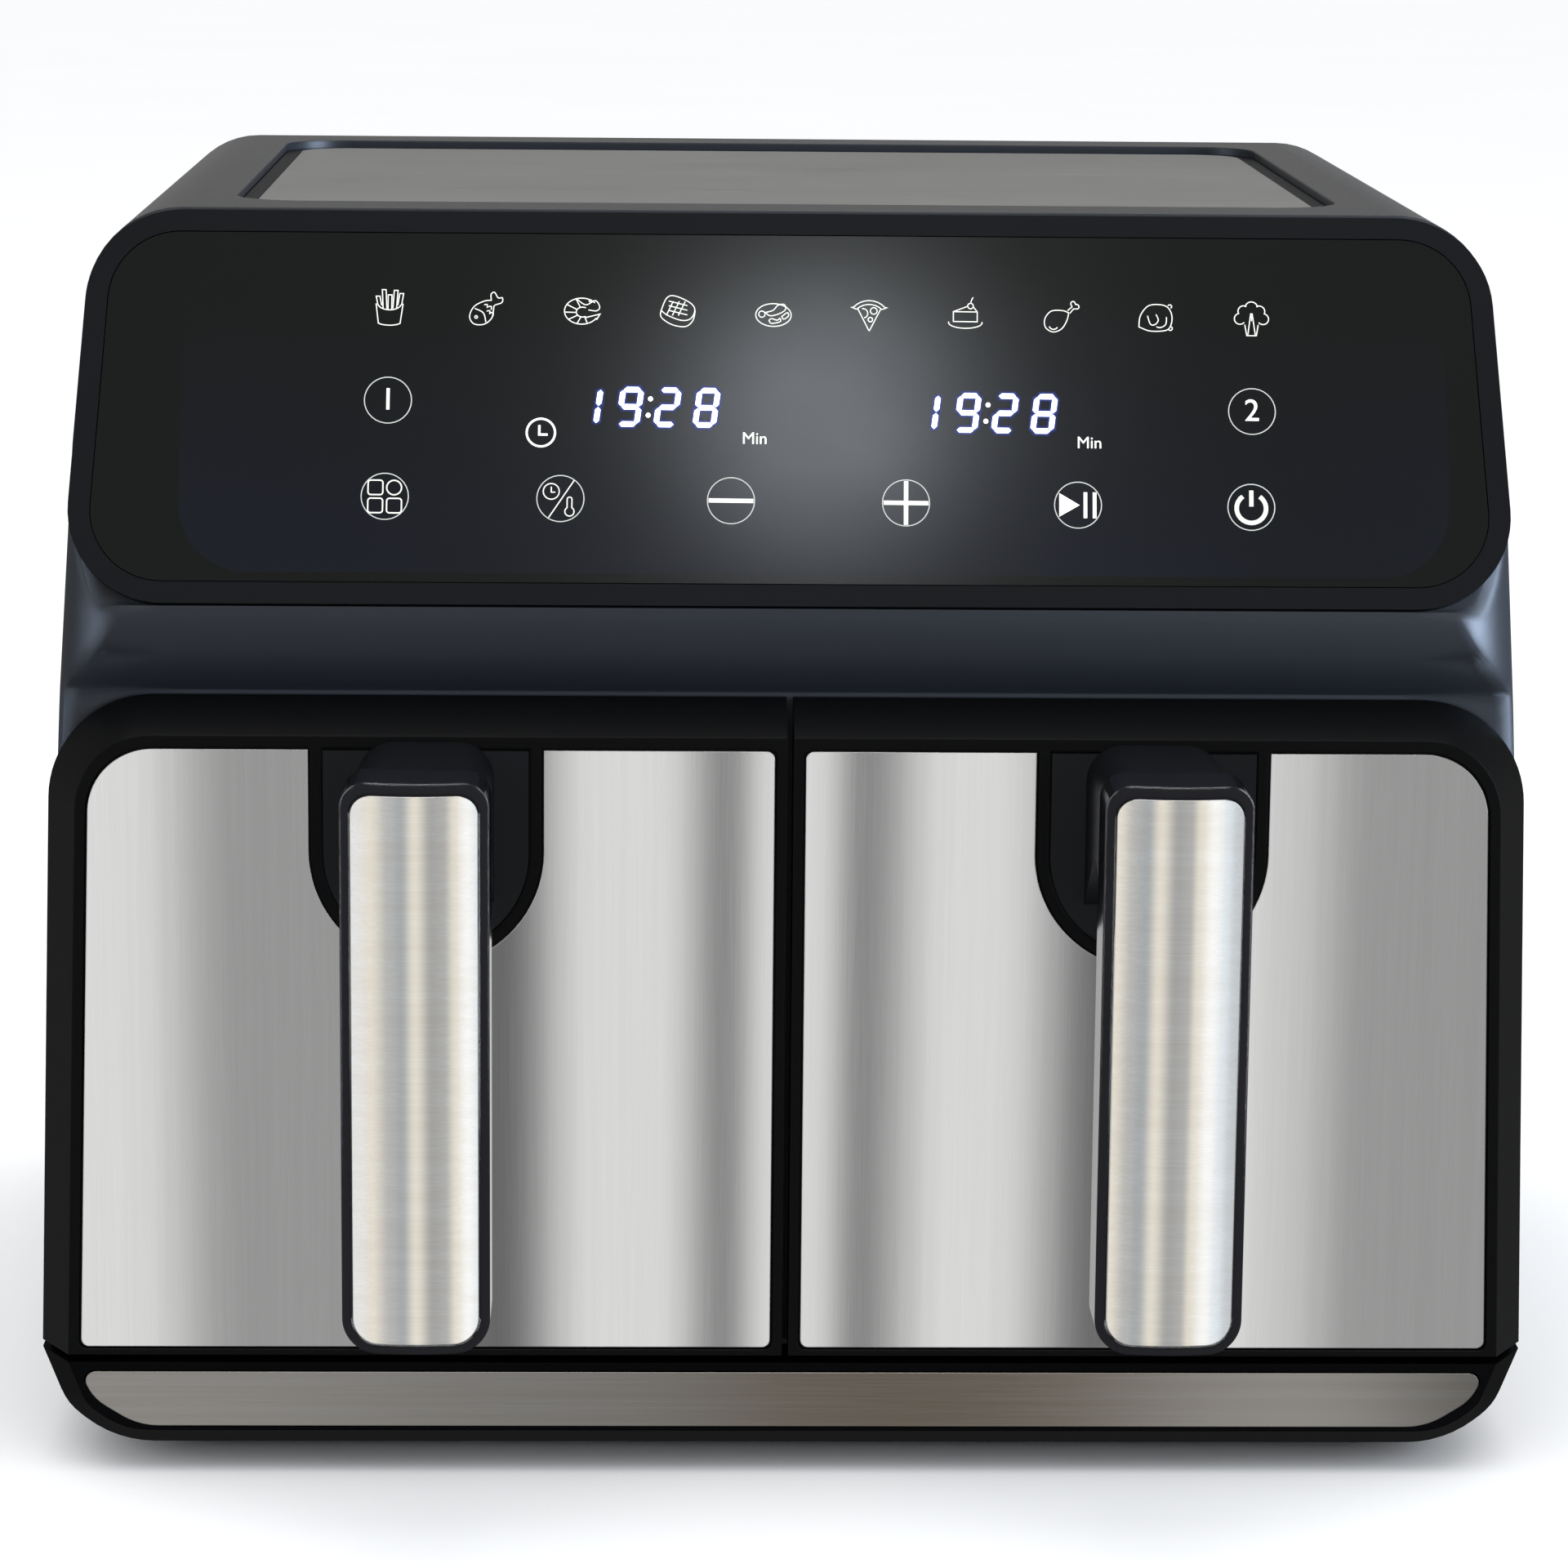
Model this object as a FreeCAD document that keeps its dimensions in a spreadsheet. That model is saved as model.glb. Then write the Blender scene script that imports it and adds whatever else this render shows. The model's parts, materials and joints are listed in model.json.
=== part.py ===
import FreeCAD, Part
import math
import os
import re

import Sketcher

# A free-standing kitchen air fryer with two drawers side by side.
# Frame: +X to the user's right, +Y to the back, +Z up, millimetres.
# Origin: the middle of the footprint, on the table.
# "front" is the plane of the drawer faces, and most depths are written from it.

doc = FreeCAD.newDocument("AirFryer")
sizes = doc.addObject("Spreadsheet::Sheet", "Sizes")

DIMENSIONS = {
    # overall
    "front": -124.85,
    "half_floor": 191.35,
    "draft": 0.0272,
    "wall": 2.5,
    # base
    "foot_height": 4,
    "foot_radius": 10,
    "base_top": 29.5,
    "band_depth": 14,
    "band_inset": 8,
    "strip_bottom": 12.7,
    "strip_top": 27,
    "strip_half": 179.5,
    "strip_thick": 1.1,
    # housing
    "shell_bottom": 30,
    "shell_top": 319.7,
    "shell_front": 15,
    "shell_rear": 314,
    "shoulder_level": 200,
    "shoulder_lean": 0.0677,
    "shoulder_round": 24,
    "head_bottom": 201,
    "doorway_round": 14,
    "corner_round": 20,
    "corner_relief": 0.15,
    "corner_fade": 70,
    "rear_round": 10,
    # control panel, leaning back
    "panel_angle": 20.15,
    "panel_slope": 0.3669,
    "panel_foot": 4,
    "panel_bottom": 224.7,
    "panel_length": 100.8,
    "panel_half": 182,
    "panel_taper": 0.063,
    "bezel_thick": 2.5,
    "bezel_round": 24,
    "glass_border": 5.7,
    "glass_round": 18,
    "glass_thick": 1.4,
    # lid
    "lid_half": 143,
    "lid_front": 64,
    "lid_rear": 284,
    "lid_round": 18,
    "lid_level": 317.4,
    # drawers
    "drawer_bottom": 31.5,
    "drawer_top": 200,
    "drawer_gap": 0.8,
    "drawer_round": 27,
    "rim": 2.6,
    "seam": 0.6,
    "sheet_thick": 1,
    "panel_recess": 1.2,
    # handles
    "handle_x": 91,
    "grip_half": 17.85,
    "grip_bottom": 53.3,
    "grip_top": 193.5,
    "grip_back": 50,
    "grip_front": 69.5,
    "grip_bulge": 47.3,
    "boss_radius": 25.6,
    "boss_centre": 162.5,
    # cooking cavity
    "cavity_x": 91.5,
    "cavity_half": 82.5,
    "cavity_bottom": 34,
    "cavity_roof": 226,
    "cavity_front": 17.8,
    "cavity_rear": 270,
    "liner_thick": 1,
    "pan_half": 76.5,
    "pan_bottom": 38,
    "pan_top": 170,
    "pan_rear": 250,
    "pan_wall": 1.5,
    "pan_rim": 1.6,
    "pan_round": 24,
    "plate_level": 50,
    "plate_thick": 2,
    # hot-air unit
    "fan_depth": 135,
    "shaft_radius": 3,
    "fan_radius": 50,
    "element_radius": 68,
    "element_level": 192,
    "element_tube": 3.2,
    "guard_level": 183,
    "guard_wire": 1.1,
    "motor_radius": 26,
    "motor_bottom": 242,
    "motor_top": 268,
    "cooler_radius": 40,
    # switch and cord entry
    "switch_level": 100,
    "plunger_radius": 3,
    "gland_x": 120,
    "gland_level": 62,
    "gland_radius": 7.5,
    "cord_radius": 3.6,
}
for row, (alias, number) in enumerate(DIMENSIONS.items(), start=1):
    sizes.set(f"A{row}", alias)
    sizes.set(f"B{row}", str(number))
    sizes.setAlias(f"B{row}", alias)
doc.recompute()

ALIAS = re.compile(r"\b(" + "|".join(DIMENSIONS) + r")\b")
LEFT = -1
RIGHT = 1
SIDES = {"left": LEFT, "right": RIGHT}

nodes = {}


def formula(text):
    """The expression that a length is bound to, with its sheet named."""
    return ALIAS.sub(r"Sizes.\1", str(text))


def size(alias):
    """The present value of one driving dimension."""
    return float(getattr(sizes, alias))


def name_node(label, feature):
    """Name a finished sub-part."""
    feature.Label = label
    nodes[label] = feature
    return feature


def move(feature, x="0", y="0", z="0"):
    """Bind a feature's position."""
    feature.setExpression("Placement.Base.x", formula(x))
    feature.setExpression("Placement.Base.y", formula(y))
    feature.setExpression("Placement.Base.z", formula(z))
    return feature


def turn(feature, axis, degrees):
    """Turn a feature about its own origin, before it is moved."""
    feature.Placement = FreeCAD.Placement(FreeCAD.Vector(), FreeCAD.Rotation(axis, degrees))
    return feature


# ---------------------------------------------------------------- primitives

def box(name, x, y, z):
    """A box from three (low, high) pairs of formulas."""
    feature = doc.addObject("Part::Box", name)
    feature.setExpression("Length", formula(f"({x[1]}) - ({x[0]})"))
    feature.setExpression("Width", formula(f"({y[1]}) - ({y[0]})"))
    feature.setExpression("Height", formula(f"({z[1]}) - ({z[0]})"))
    return move(feature, x[0], y[0], z[0])


def sided(side, inner, outer):
    """An X range on one side of the middle, from two distances."""
    if side == LEFT:
        return (f"-({outer})", f"-({inner})")
    return (inner, outer)


def post(name, x, y, z, radius):
    """An upright cylinder over the (low, high) pair z."""
    feature = doc.addObject("Part::Cylinder", name)
    feature.setExpression("Radius", formula(radius))
    feature.setExpression("Height", formula(f"({z[1]}) - ({z[0]})"))
    return move(feature, x, y, z[0])


def rod(name, x, y, z, radius):
    """A cylinder lying front to back over the (low, high) pair y."""
    feature = doc.addObject("Part::Cylinder", name)
    turn(feature, FreeCAD.Vector(1, 0, 0), -90)
    feature.setExpression("Radius", formula(radius))
    feature.setExpression("Height", formula(f"({y[1]}) - ({y[0]})"))
    return move(feature, x, y[0], z)


def ring(name, x, y, z, radius, wire, sweep=360, start=0):
    """A flat ring of round wire, whole or part of a turn."""
    feature = doc.addObject("Part::Torus", name)
    turn(feature, FreeCAD.Vector(0, 0, 1), start)
    feature.setExpression("Radius1", formula(radius))
    feature.setExpression("Radius2", formula(wire))
    feature.Angle3 = sweep
    return move(feature, x, y, z)


def fuse(name, parts):
    """Join features into one."""
    feature = doc.addObject("Part::MultiFuse", name)
    feature.Shapes = parts
    feature.Refine = True
    return feature


def cut(name, base, tools):
    """Take tools away from a base."""
    feature = doc.addObject("Part::Cut", name)
    feature.Base = base
    feature.Tool = tools[0] if len(tools) == 1 else fuse(name + "_tools", tools)
    return feature


def mirrored(name, source):
    """A feature's mirror image on the other side of the object."""
    feature = doc.addObject("Part::Mirroring", name)
    feature.Source = source
    feature.Normal = FreeCAD.Vector(1, 0, 0)
    return feature


def common(name, parts):
    """Keep what all the parts share."""
    feature = doc.addObject("Part::MultiCommon", name)
    feature.Shapes = parts
    return feature


# ------------------------------------------------------- bodies from outlines

PLANES = {
    "XY": ("XY_Plane", FreeCAD.Vector(0, 0, 1)),
    "XZ": ("XZ_Plane", FreeCAD.Vector(0, 1, 0)),
    "YZ": ("YZ_Plane", FreeCAD.Vector(1, 0, 0)),
}


def outline(body, name, plane, level, points):
    """A closed sketch whose corners are each bound to a pair of formulas."""
    role = PLANES[plane][0]
    sketch = body.newObject("Sketcher::SketchObject", name)
    sketch.AttachmentSupport = [(f, "") for f in body.Origin.OriginFeatures if f.Role == role]
    sketch.MapMode = "FlatFace"
    sketch.setExpression("AttachmentOffset.Base.z", formula(level))
    count = len(points)
    turns = [2 * math.pi * i / count for i in range(count)]
    places = [FreeCAD.Vector(100 * math.cos(a), 100 * math.sin(a), 0) for a in turns]
    for i in range(count):
        sketch.addGeometry(Part.LineSegment(places[i], places[(i + 1) % count]), False)
    for i in range(count):
        sketch.addConstraint(Sketcher.Constraint("Coincident", i, 2, (i + 1) % count, 1))
    for i, (across, along) in enumerate(points):
        for kind, place, text in (
            ("DistanceX", places[i].x, across),
            ("DistanceY", places[i].y, along),
        ):
            index = sketch.addConstraint(Sketcher.Constraint(kind, -1, 1, i, 1, place))
            sketch.setExpression(f"Constraints[{index}]", formula(text))
    return sketch


def prism(name, plane, low, high, points, rounds=None):
    """A body made by pushing an outline from low to high along the plane's axis.

    rounds gives a radius to some of the outline's corners, by their index.
    """
    body = doc.addObject("PartDesign::Body", name)
    level = f"-({high})" if plane == "XZ" else low
    sketch = outline(body, name + "_outline", plane, level, points)
    pad = body.newObject("PartDesign::Pad", name + "_pad")
    pad.Profile = sketch
    pad.setExpression("Length", formula(f"({high}) - ({low})"))
    doc.recompute()
    body_end = pad
    groups = {}
    for corner, radius in (rounds or {}).items():
        groups.setdefault(radius, []).append(corner)
    axis = PLANES[plane][1]
    for step, (radius, corners) in enumerate(groups.items()):
        spots = [sketch.getPoint(i, 1) for i in corners]
        spots = [sketch.Placement.multVec(p) for p in spots]
        edges = []
        for number, edge in enumerate(body_end.Shape.Edges, start=1):
            if len(edge.Vertexes) < 2 or not isinstance(edge.Curve, Part.Line):
                continue
            along = (edge.Vertexes[1].Point - edge.Vertexes[0].Point).normalize()
            if abs(along.dot(axis)) < 0.999:
                continue
            middle = edge.CenterOfMass
            for spot in spots:
                offset = middle - spot
                offset = offset - axis * offset.dot(axis)
                if offset.Length < 0.01:
                    edges.append(f"Edge{number}")
        fillet = body.newObject("PartDesign::Fillet", f"{name}_round{step}")
        fillet.Base = (body_end, edges)
        fillet.setExpression("Radius", formula(radius))
        doc.recompute()
        body_end = fillet
    return body


def edges_of(body, wanted):
    """The names of a body's edges whose middle passes a test."""
    tip = body.Tip
    names = []
    for number, edge in enumerate(tip.Shape.Edges, start=1):
        if wanted(edge.CenterOfMass, edge):
            names.append(f"Edge{number}")
    return tip, names


def chamfer(body, wanted, depth, inset):
    """Bevel edges by one length into the body and another across its face."""
    base = edges_of(body, wanted)
    feature = body.newObject("PartDesign::Chamfer", body.Name + "_bevel")
    feature.Base = base
    feature.ChamferType = "Two distances"
    feature.setExpression("Size", formula(depth))
    feature.setExpression("Size2", formula(inset))
    doc.recompute()
    return body


def soften(body, wanted, radius, tag):
    """Round edges that pass a test."""
    base = edges_of(body, wanted)
    feature = body.newObject("PartDesign::Fillet", f"{body.Name}_{tag}")
    feature.Base = base
    feature.setExpression("Radius", formula(radius))
    doc.recompute()
    return body


def flat_at(edge, axis, level):
    """Whether every end of an edge lies at one level along an axis."""
    return all(abs(getattr(v, axis) - level) < 0.001 for v in edge.Vertexes)


# ------------------------------------------------------------------ the base

def base_outline():
    """The base seen from the front, with swept-in lower corners."""
    right = [
        ("half_floor - draft*base_top", "base_top"),
        ("184.5", "foot_height + 10"),
        ("172", "foot_height"),
    ]
    left = [(f"-({x})", z) for x, z in reversed(right)]
    return right + left


def make_base():
    """The chassis tray: a bevelled front beam running back into a shallow tray."""
    rounds = {1: "16", 4: "16", 2: "28", 3: "28"}
    body = prism("base_body", "XZ", "front", "front + shell_rear - 2", base_outline(), rounds)
    face = size("front")
    top = size("base_top")
    chamfer(
        body,
        lambda middle, edge: flat_at(edge, "Y", face) and middle.z < top - 0.01,
        "band_depth",
        "band_inset - 0.5",
    )
    hollow = box(
        "base_hollow",
        ("-182", "182"),
        ("front + band_depth + 6", "front + shell_rear - 6"),
        ("foot_height + 12", "base_top + 1"),
    )
    well = box(
        "base_well",
        ("-168", "168"),
        ("front + band_depth + 8", "front + shell_rear - 8"),
        ("foot_height + wall", "foot_height + 13"),
    )
    strip_seat = strip_prism("strip_seat", "0.3", "front - 1", "front + strip_thick + 0.1")
    tools = [hollow, well, strip_seat]
    for side_name, side in SIDES.items():
        for i in range(7):
            tools.append(
                box(
                    f"{side_name}_base_vent{i}",
                    sided(side, "60", "130"),
                    (f"front + 90 + {14 * i}", f"front + 94 + {14 * i}"),
                    ("foot_height - 1", "foot_height + wall + 1"),
                )
            )
    name_node("base_tray", cut("base_cut", body, tools))


def strip_prism(name, grow, low, high):
    """The trim strip's outline, grown a little on all sides, as a body."""
    right = [
        (f"strip_half + {grow}", f"strip_top + {grow}"),
        (f"strip_half - 3 + {grow}", "strip_top - 7"),
        ("strip_half - 14.5", f"strip_bottom - {grow}"),
    ]
    left = [(f"-({x})", z) for x, z in reversed(right)]
    rounds = {0: "2.5", 5: "2.5", 1: "12", 4: "12", 2: "18", 3: "18"}
    return prism(name, "XZ", low, high, right + left, rounds)


def make_base_trim():
    """The steel strip let into the front of the base."""
    strip = strip_prism("strip_body", "0", "front", "front + strip_thick")
    name_node("base_trim_strip", strip)


def make_feet():
    """Four rubber feet under the tray."""
    corners = {
        "front_left": ("-150", "front + 36"),
        "front_right": ("150", "front + 36"),
        "rear_left": ("-150", "front + shell_rear - 36"),
        "rear_right": ("150", "front + shell_rear - 36"),
    }
    for corner, (x, y) in corners.items():
        name_node(f"foot_{corner}", post(f"foot_{corner}_post", x, y, ("0", "foot_height"), "foot_radius"))


# --------------------------------------------------------------- the housing

def housing_half(level):
    """Half the housing's width at a level on its lower, drafted part."""
    return f"(half_floor - 1.8 - draft*({level}))"


def corner_cutters(tag, inset):
    """What the rounding of the head's two front corners takes away, leaning with the sides.

    The lean is steeper than the lower sides' draft, so the rounding fades out below the head.
    """
    low = "shoulder_level - corner_fade"
    height = formula("shell_top - shoulder_level + corner_fade + 20")
    x = f"{housing_half('shoulder_level')} + shoulder_lean*corner_fade - corner_round + corner_relief"
    y = "front + panel_foot + corner_round - corner_relief"
    square = doc.addObject("Part::Box", tag + "_square")
    square.setExpression("Length", formula("2*corner_round"))
    square.setExpression("Width", formula("2*corner_round"))
    round_part = doc.addObject("Part::Cylinder", tag + "_round")
    round_part.setExpression("Radius", formula(f"corner_round - {inset}"))
    lean = math.degrees(math.atan(size("shoulder_lean")))
    for piece in (square, round_part):
        turn(piece, FreeCAD.Vector(0, 1, 0), -lean)
        piece.setExpression("Height", height)
    move(square, x, f"{y} - 2*corner_round", low)
    move(round_part, x, y, low)
    right = cut(tag + "_right", square, [round_part])
    return [right, mirrored(tag + "_left", right)]


def housing_front_view(inset, bottom):
    """The housing seen from the front: slightly drafted sides and a rounded top."""
    right = [
        (f"{housing_half(bottom)} - {inset}", bottom),
        (f"{housing_half('shoulder_level')} - {inset}", "shoulder_level"),
        (
            f"{housing_half('shoulder_level')} - shoulder_lean*(shell_top - {inset} - shoulder_level) - {inset}",
            f"shell_top - {inset}",
        ),
    ]
    left = [(f"-({x})", z) for x, z in reversed(right)]
    return right + left


def housing_side_view(rear):
    """The housing from the side: straight fascia, neck, leaning panel and lid."""
    lip = "front + panel_foot + 0.3"
    seat = "front + panel_foot + 2.65"
    return [
        ("front + shell_front", "shell_bottom"),
        ("front + shell_front", "head_bottom"),
        ("front + panel_foot + 1.5", "head_bottom + 10"),
        (lip, "panel_bottom - 0.7"),
        (seat, "panel_bottom - 1.6"),
        (f"{seat} + panel_slope*(shell_top - panel_bottom + 1.6)", "shell_top"),
        (f"front + {rear}", "shell_top"),
        (f"front + {rear}", "shell_bottom"),
    ]


def hollow_side_view(rear):
    """The inside of the housing from the side, one wall in from the outside."""
    seat = "front + panel_foot + 5.3"
    return [
        ("front + shell_front + wall", "shell_bottom - 10"),
        ("front + shell_front + wall", "head_bottom + 1.2"),
        ("front + panel_foot + 4.2", "head_bottom + 10.6"),
        (seat, "panel_bottom - 1.6"),
        (f"{seat} + panel_slope*(shell_top - wall - panel_bottom + 1.6)", "shell_top - wall"),
        (f"front + {rear}", "shell_top - wall"),
        (f"front + {rear}", "shell_bottom - 10"),
    ]


def round_rear(body, level, radius):
    """Round the whole rear outline of a body that was pushed back to a level."""
    rear = size("front") + level
    floor = size("shell_bottom") + 1
    return soften(
        body,
        lambda middle, edge: flat_at(edge, "Y", rear) and middle.z > floor,
        radius, "rear_edges",
    )


def housing_envelope():
    """The solid that fills the whole housing."""
    shoulders = {2: "shoulder_round", 3: "shoulder_round"}
    across = prism(
        "shell_across", "XZ", "front", "front + shell_rear",
        housing_front_view("0", "shell_bottom"), shoulders,
    )
    round_rear(across, size("shell_rear"), "rear_round")
    along = prism("shell_along", "YZ", "-200", "200", housing_side_view("shell_rear + 20"), {2: "30"})
    square = common("shell_square", [across, along])
    return cut("shell_solid", square, corner_cutters("shell_corner", "0"))


def housing_hollow():
    """The solid that is taken out of the housing."""
    shoulders = {2: "shoulder_round - wall", 3: "shoulder_round - wall"}
    across = prism(
        "hollow_across", "XZ", "front", "front + shell_rear - wall",
        housing_front_view("wall", "shell_bottom - 10"), shoulders,
    )
    round_rear(across, size("shell_rear") - size("wall"), "rear_round - wall")
    along = prism("hollow_along", "YZ", "-200", "200", hollow_side_view("shell_rear + 20"))
    square = common("hollow_square", [across, along])
    return cut("hollow_solid", square, corner_cutters("hollow_corner", "wall"))


def rear_screw_places():
    """Where the screws of the rear cover go: (x, z) in the middle of its edge."""
    heights = (52, 168, 284)
    places = [(x, z) for x in (-158, 158) for z in heights]
    return places + [(-55, 284), (55, 284), (-55, 52), (55, 52)]


def rounded_plate(name, half, low, high, bottom, top, radius):
    """An upright plate across the object, with rounded corners."""
    points = [(f"-({half})", bottom), (half, bottom), (half, top), (f"-({half})", top)]
    return prism(name, "XZ", low, high, points, {i: radius for i in range(4)})


def make_shell(envelope):
    """The outer shell: sides, top, neck and fascia in one moulding."""
    tools = [housing_hollow()]
    for side_name, side in SIDES.items():
        jamb = f"{side}*(cavity_x + cavity_half + 2)"
        doorway = [
            (f"{side}*7.5", "shell_bottom + 3"), (jamb, "shell_bottom + 3"),
            (jamb, "198"), (f"{side}*7.5", "198"),
        ]
        depth = ("front", "front + shell_front + 5")
        tools.append(prism(f"{side_name}_doorway", "XZ", *depth, doorway, {2: "doorway_round"}))
    tools.append(
        rounded_plate(
            "rear_opening", "150", "front + shell_rear - 4", "front + shell_rear + 2",
            "60", "276", "12",
        )
    )
    tools.append(lid_prism("lid_opening", "0", "shell_top - wall - 1", "shell_top + 1"))
    window = panel_prism("panel_window", "14", "8", "-9", "0", "6")
    tools.append(window)
    for i, (x, z) in enumerate(rear_screw_places()):
        y = ("front + shell_rear - 4", "front + shell_rear + 1")
        tools.append(rod(f"shell_screw_hole{i}", str(x), y, str(z), "1.7"))
    name_node("outer_shell", cut("shell_cut", envelope, tools))


def lid_prism(name, inset, low, high):
    """The rounded rectangle of the lid insert, set in by some distance, as a body."""
    points = [
        (f"-(lid_half - ({inset}))", f"front + lid_front + ({inset})"),
        (f"lid_half - ({inset})", f"front + lid_front + ({inset})"),
        (f"lid_half - ({inset})", f"front + lid_rear - ({inset})"),
        (f"-(lid_half - ({inset}))", f"front + lid_rear - ({inset})"),
    ]
    return prism(name, "XY", low, high, points, {i: f"lid_round - ({inset})" for i in range(4)})


def make_lid():
    """The recessed lid insert: a plastic tray under the shell, and a steel plate in it."""
    flange = lid_prism("lid_flange", "-5", "lid_level - 3.4", "lid_level - 0.4")
    deck = lid_prism("lid_deck", "0.4", "lid_level - 0.4", "lid_level")
    seat = lid_prism("lid_seat", "4.4", "lid_level - 1.3", "lid_level + 1")
    tray = cut("lid_tray_cut", fuse("lid_tray_blank", [flange, deck]), [seat])
    name_node("top_insert_tray", tray)
    name_node("top_steel_plate", lid_prism("lid_steel", "4.8", "lid_level - 1.3", "lid_level + 0.3"))


def panel_prism(name, border, corner, low, high, top_border=None):
    """A rounded, slightly tapered plate on the leaning panel, by depth from its face."""
    top = f"panel_length - ({top_border or border})"
    foot = f"({border})"
    points = [
        (f"-(panel_half - {foot} - panel_taper*{foot})", foot),
        (f"panel_half - {foot} - panel_taper*{foot}", foot),
        (f"panel_half - {foot} - panel_taper*({top})", top),
        (f"-(panel_half - {foot} - panel_taper*({top}))", top),
    ]
    body = prism(name, "XY", low, high, points, {i: corner for i in range(4)})
    return on_panel(body)


def on_panel(feature):
    """Lay a feature that was drawn flat onto the leaning panel."""
    feature.Placement = FreeCAD.Placement(
        FreeCAD.Vector(), FreeCAD.Rotation(FreeCAD.Vector(1, 0, 0), 90 - size("panel_angle"))
    )
    return move(feature, "0", "front + panel_foot", "panel_bottom")


def make_control_panel(envelope):
    """The bezel frame, its glass, the touch board and two display modules."""
    blank = panel_prism("bezel_blank", "0", "bezel_round", "-22", "0")
    fitted = cut("bezel_fitted", blank, [envelope])
    seat = panel_prism("glass_seat", "glass_border - 0.25", "glass_round + 0.25", "-glass_thick - 0.1", "1")
    light = panel_prism("bezel_window", "glass_border + 5", "glass_round - 5", "-24", "1")
    name_node("control_bezel", cut("bezel_cut", fitted, [seat, light]))
    glass = panel_prism("glass_body", "glass_border", "glass_round", "-glass_thick - 0.1", "-0.1")
    name_node("control_glass", glass)
    board = panel_prism("touch_board_body", "17", "4", "-bezel_thick - 2.1", "-bezel_thick - 0.5")
    name_node("touch_board", board)
    for side_name, centre in {"left": -31, "right": 52}.items():
        module = box(
            f"{side_name}_display_box",
            (str(centre - 18), str(centre + 18)),
            ("38", "56"),
            ("-bezel_thick - 0.5", "-glass_thick - 0.3"),
        )
        holder = fuse(f"{side_name}_display_holder", [module, panel_pins(side_name, centre)])
        name_node(f"{side_name}_display_module", on_panel(holder))


def panel_pins(name, centre):
    """A display module's body, narrower than its face."""
    return box(
        f"{name}_display_core",
        (str(centre - 15), str(centre + 15)),
        ("40", "54"),
        ("-bezel_thick - 0.5", "-bezel_thick + 0.2"),
    )


def make_rear_cover():
    """The rear cover with two outlet grilles, wall spacers and the cord entry."""
    y = ("front + shell_rear", "front + shell_rear + 2")
    plate = rounded_plate("rear_plate", "166", y[0], y[1], "44", "292", "14")
    parts = [plate]
    for x in (-110, 110):
        parts.append(
            rounded_plate_at(f"spacer{x}", x, 14, y[1], "front + shell_rear + 6", "180", "196", "4")
        )
    blank = fuse("rear_cover_blank", parts)
    tools = []
    for side_name, side in SIDES.items():
        for i in range(11):
            tools.append(
                box(
                    f"{side_name}_outlet{i}",
                    sided(side, "cavity_x - 34", "cavity_x + 34"),
                    ("front + shell_rear - 1", "front + shell_rear + 3"),
                    (f"{206 + 6 * i}", f"{209 + 6 * i}"),
                )
            )
    for i in range(8):
        tools.append(
            box(
                f"board_outlet{i}",
                ("-30", "30"),
                ("front + shell_rear - 1", "front + shell_rear + 3"),
                (f"{224 + 6 * i}", f"{227 + 6 * i}"),
            )
        )
    for i, (x, z) in enumerate(rear_screw_places()):
        tools.append(rod(f"cover_screw_hole{i}", str(x), y, str(z), "1.7"))
    tools.append(rod("gland_hole", "gland_x", y, "gland_level + 20", "gland_radius + 0.1"))
    name_node("rear_cover", cut("rear_cover_cut", blank, tools))


def rounded_plate_at(name, centre, half, low, high, bottom, top, radius):
    """An upright rounded plate about some X."""
    points = [
        (str(centre - half), bottom), (str(centre + half), bottom),
        (str(centre + half), top), (str(centre - half), top),
    ]
    return prism(name, "XZ", low, high, points, {i: radius for i in range(4)})


def make_rear_fittings():
    """The cord gland and the rear screws."""
    x = "gland_x"
    z = "gland_level + 20"
    stem = rod("gland_stem", x, ("front + shell_rear - 6", "front + shell_rear + 6"), z, "gland_radius")
    collar = rod(
        "gland_collar", x, ("front + shell_rear - 6", "front + shell_rear - 3"), z, "gland_radius + 3"
    )
    bore = rod("gland_bore", x, ("front + shell_rear - 7", "front + shell_rear + 7"), z, "cord_radius")
    name_node("cord_gland", cut("gland_cut", fuse("gland_blank", [stem, collar]), [bore]))
    screws = []
    for i, (x, z) in enumerate(rear_screw_places()):
        head = rod(
            f"rear_screw_head{i}", str(x),
            ("front + shell_rear + 2", "front + shell_rear + 3.6"), str(z), "3.4",
        )
        shank = rod(
            f"rear_screw_shank{i}", str(x),
            ("front + shell_rear - 6", "front + shell_rear + 2"), str(z), "1.5",
        )
        slot = box(
            f"rear_screw_slot{i}",
            (str(x - 2.2), str(x + 2.2)),
            ("front + shell_rear + 2.8", "front + shell_rear + 4"),
            (str(z - 0.4), str(z + 0.4)),
        )
        cross = box(
            f"rear_screw_cross{i}",
            (str(x - 0.4), str(x + 0.4)),
            ("front + shell_rear + 2.8", "front + shell_rear + 4"),
            (str(z - 2.2), str(z + 2.2)),
        )
        screws.append(cut(f"rear_screw{i}", fuse(f"rear_screw_blank{i}", [head, shank]), [slot, cross]))
    name_node("rear_cover_screws", fuse("rear_screw_group", screws))


# ------------------------------------------------- cavities and hot-air units

def fan_y():
    return "front + fan_depth"


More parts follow.
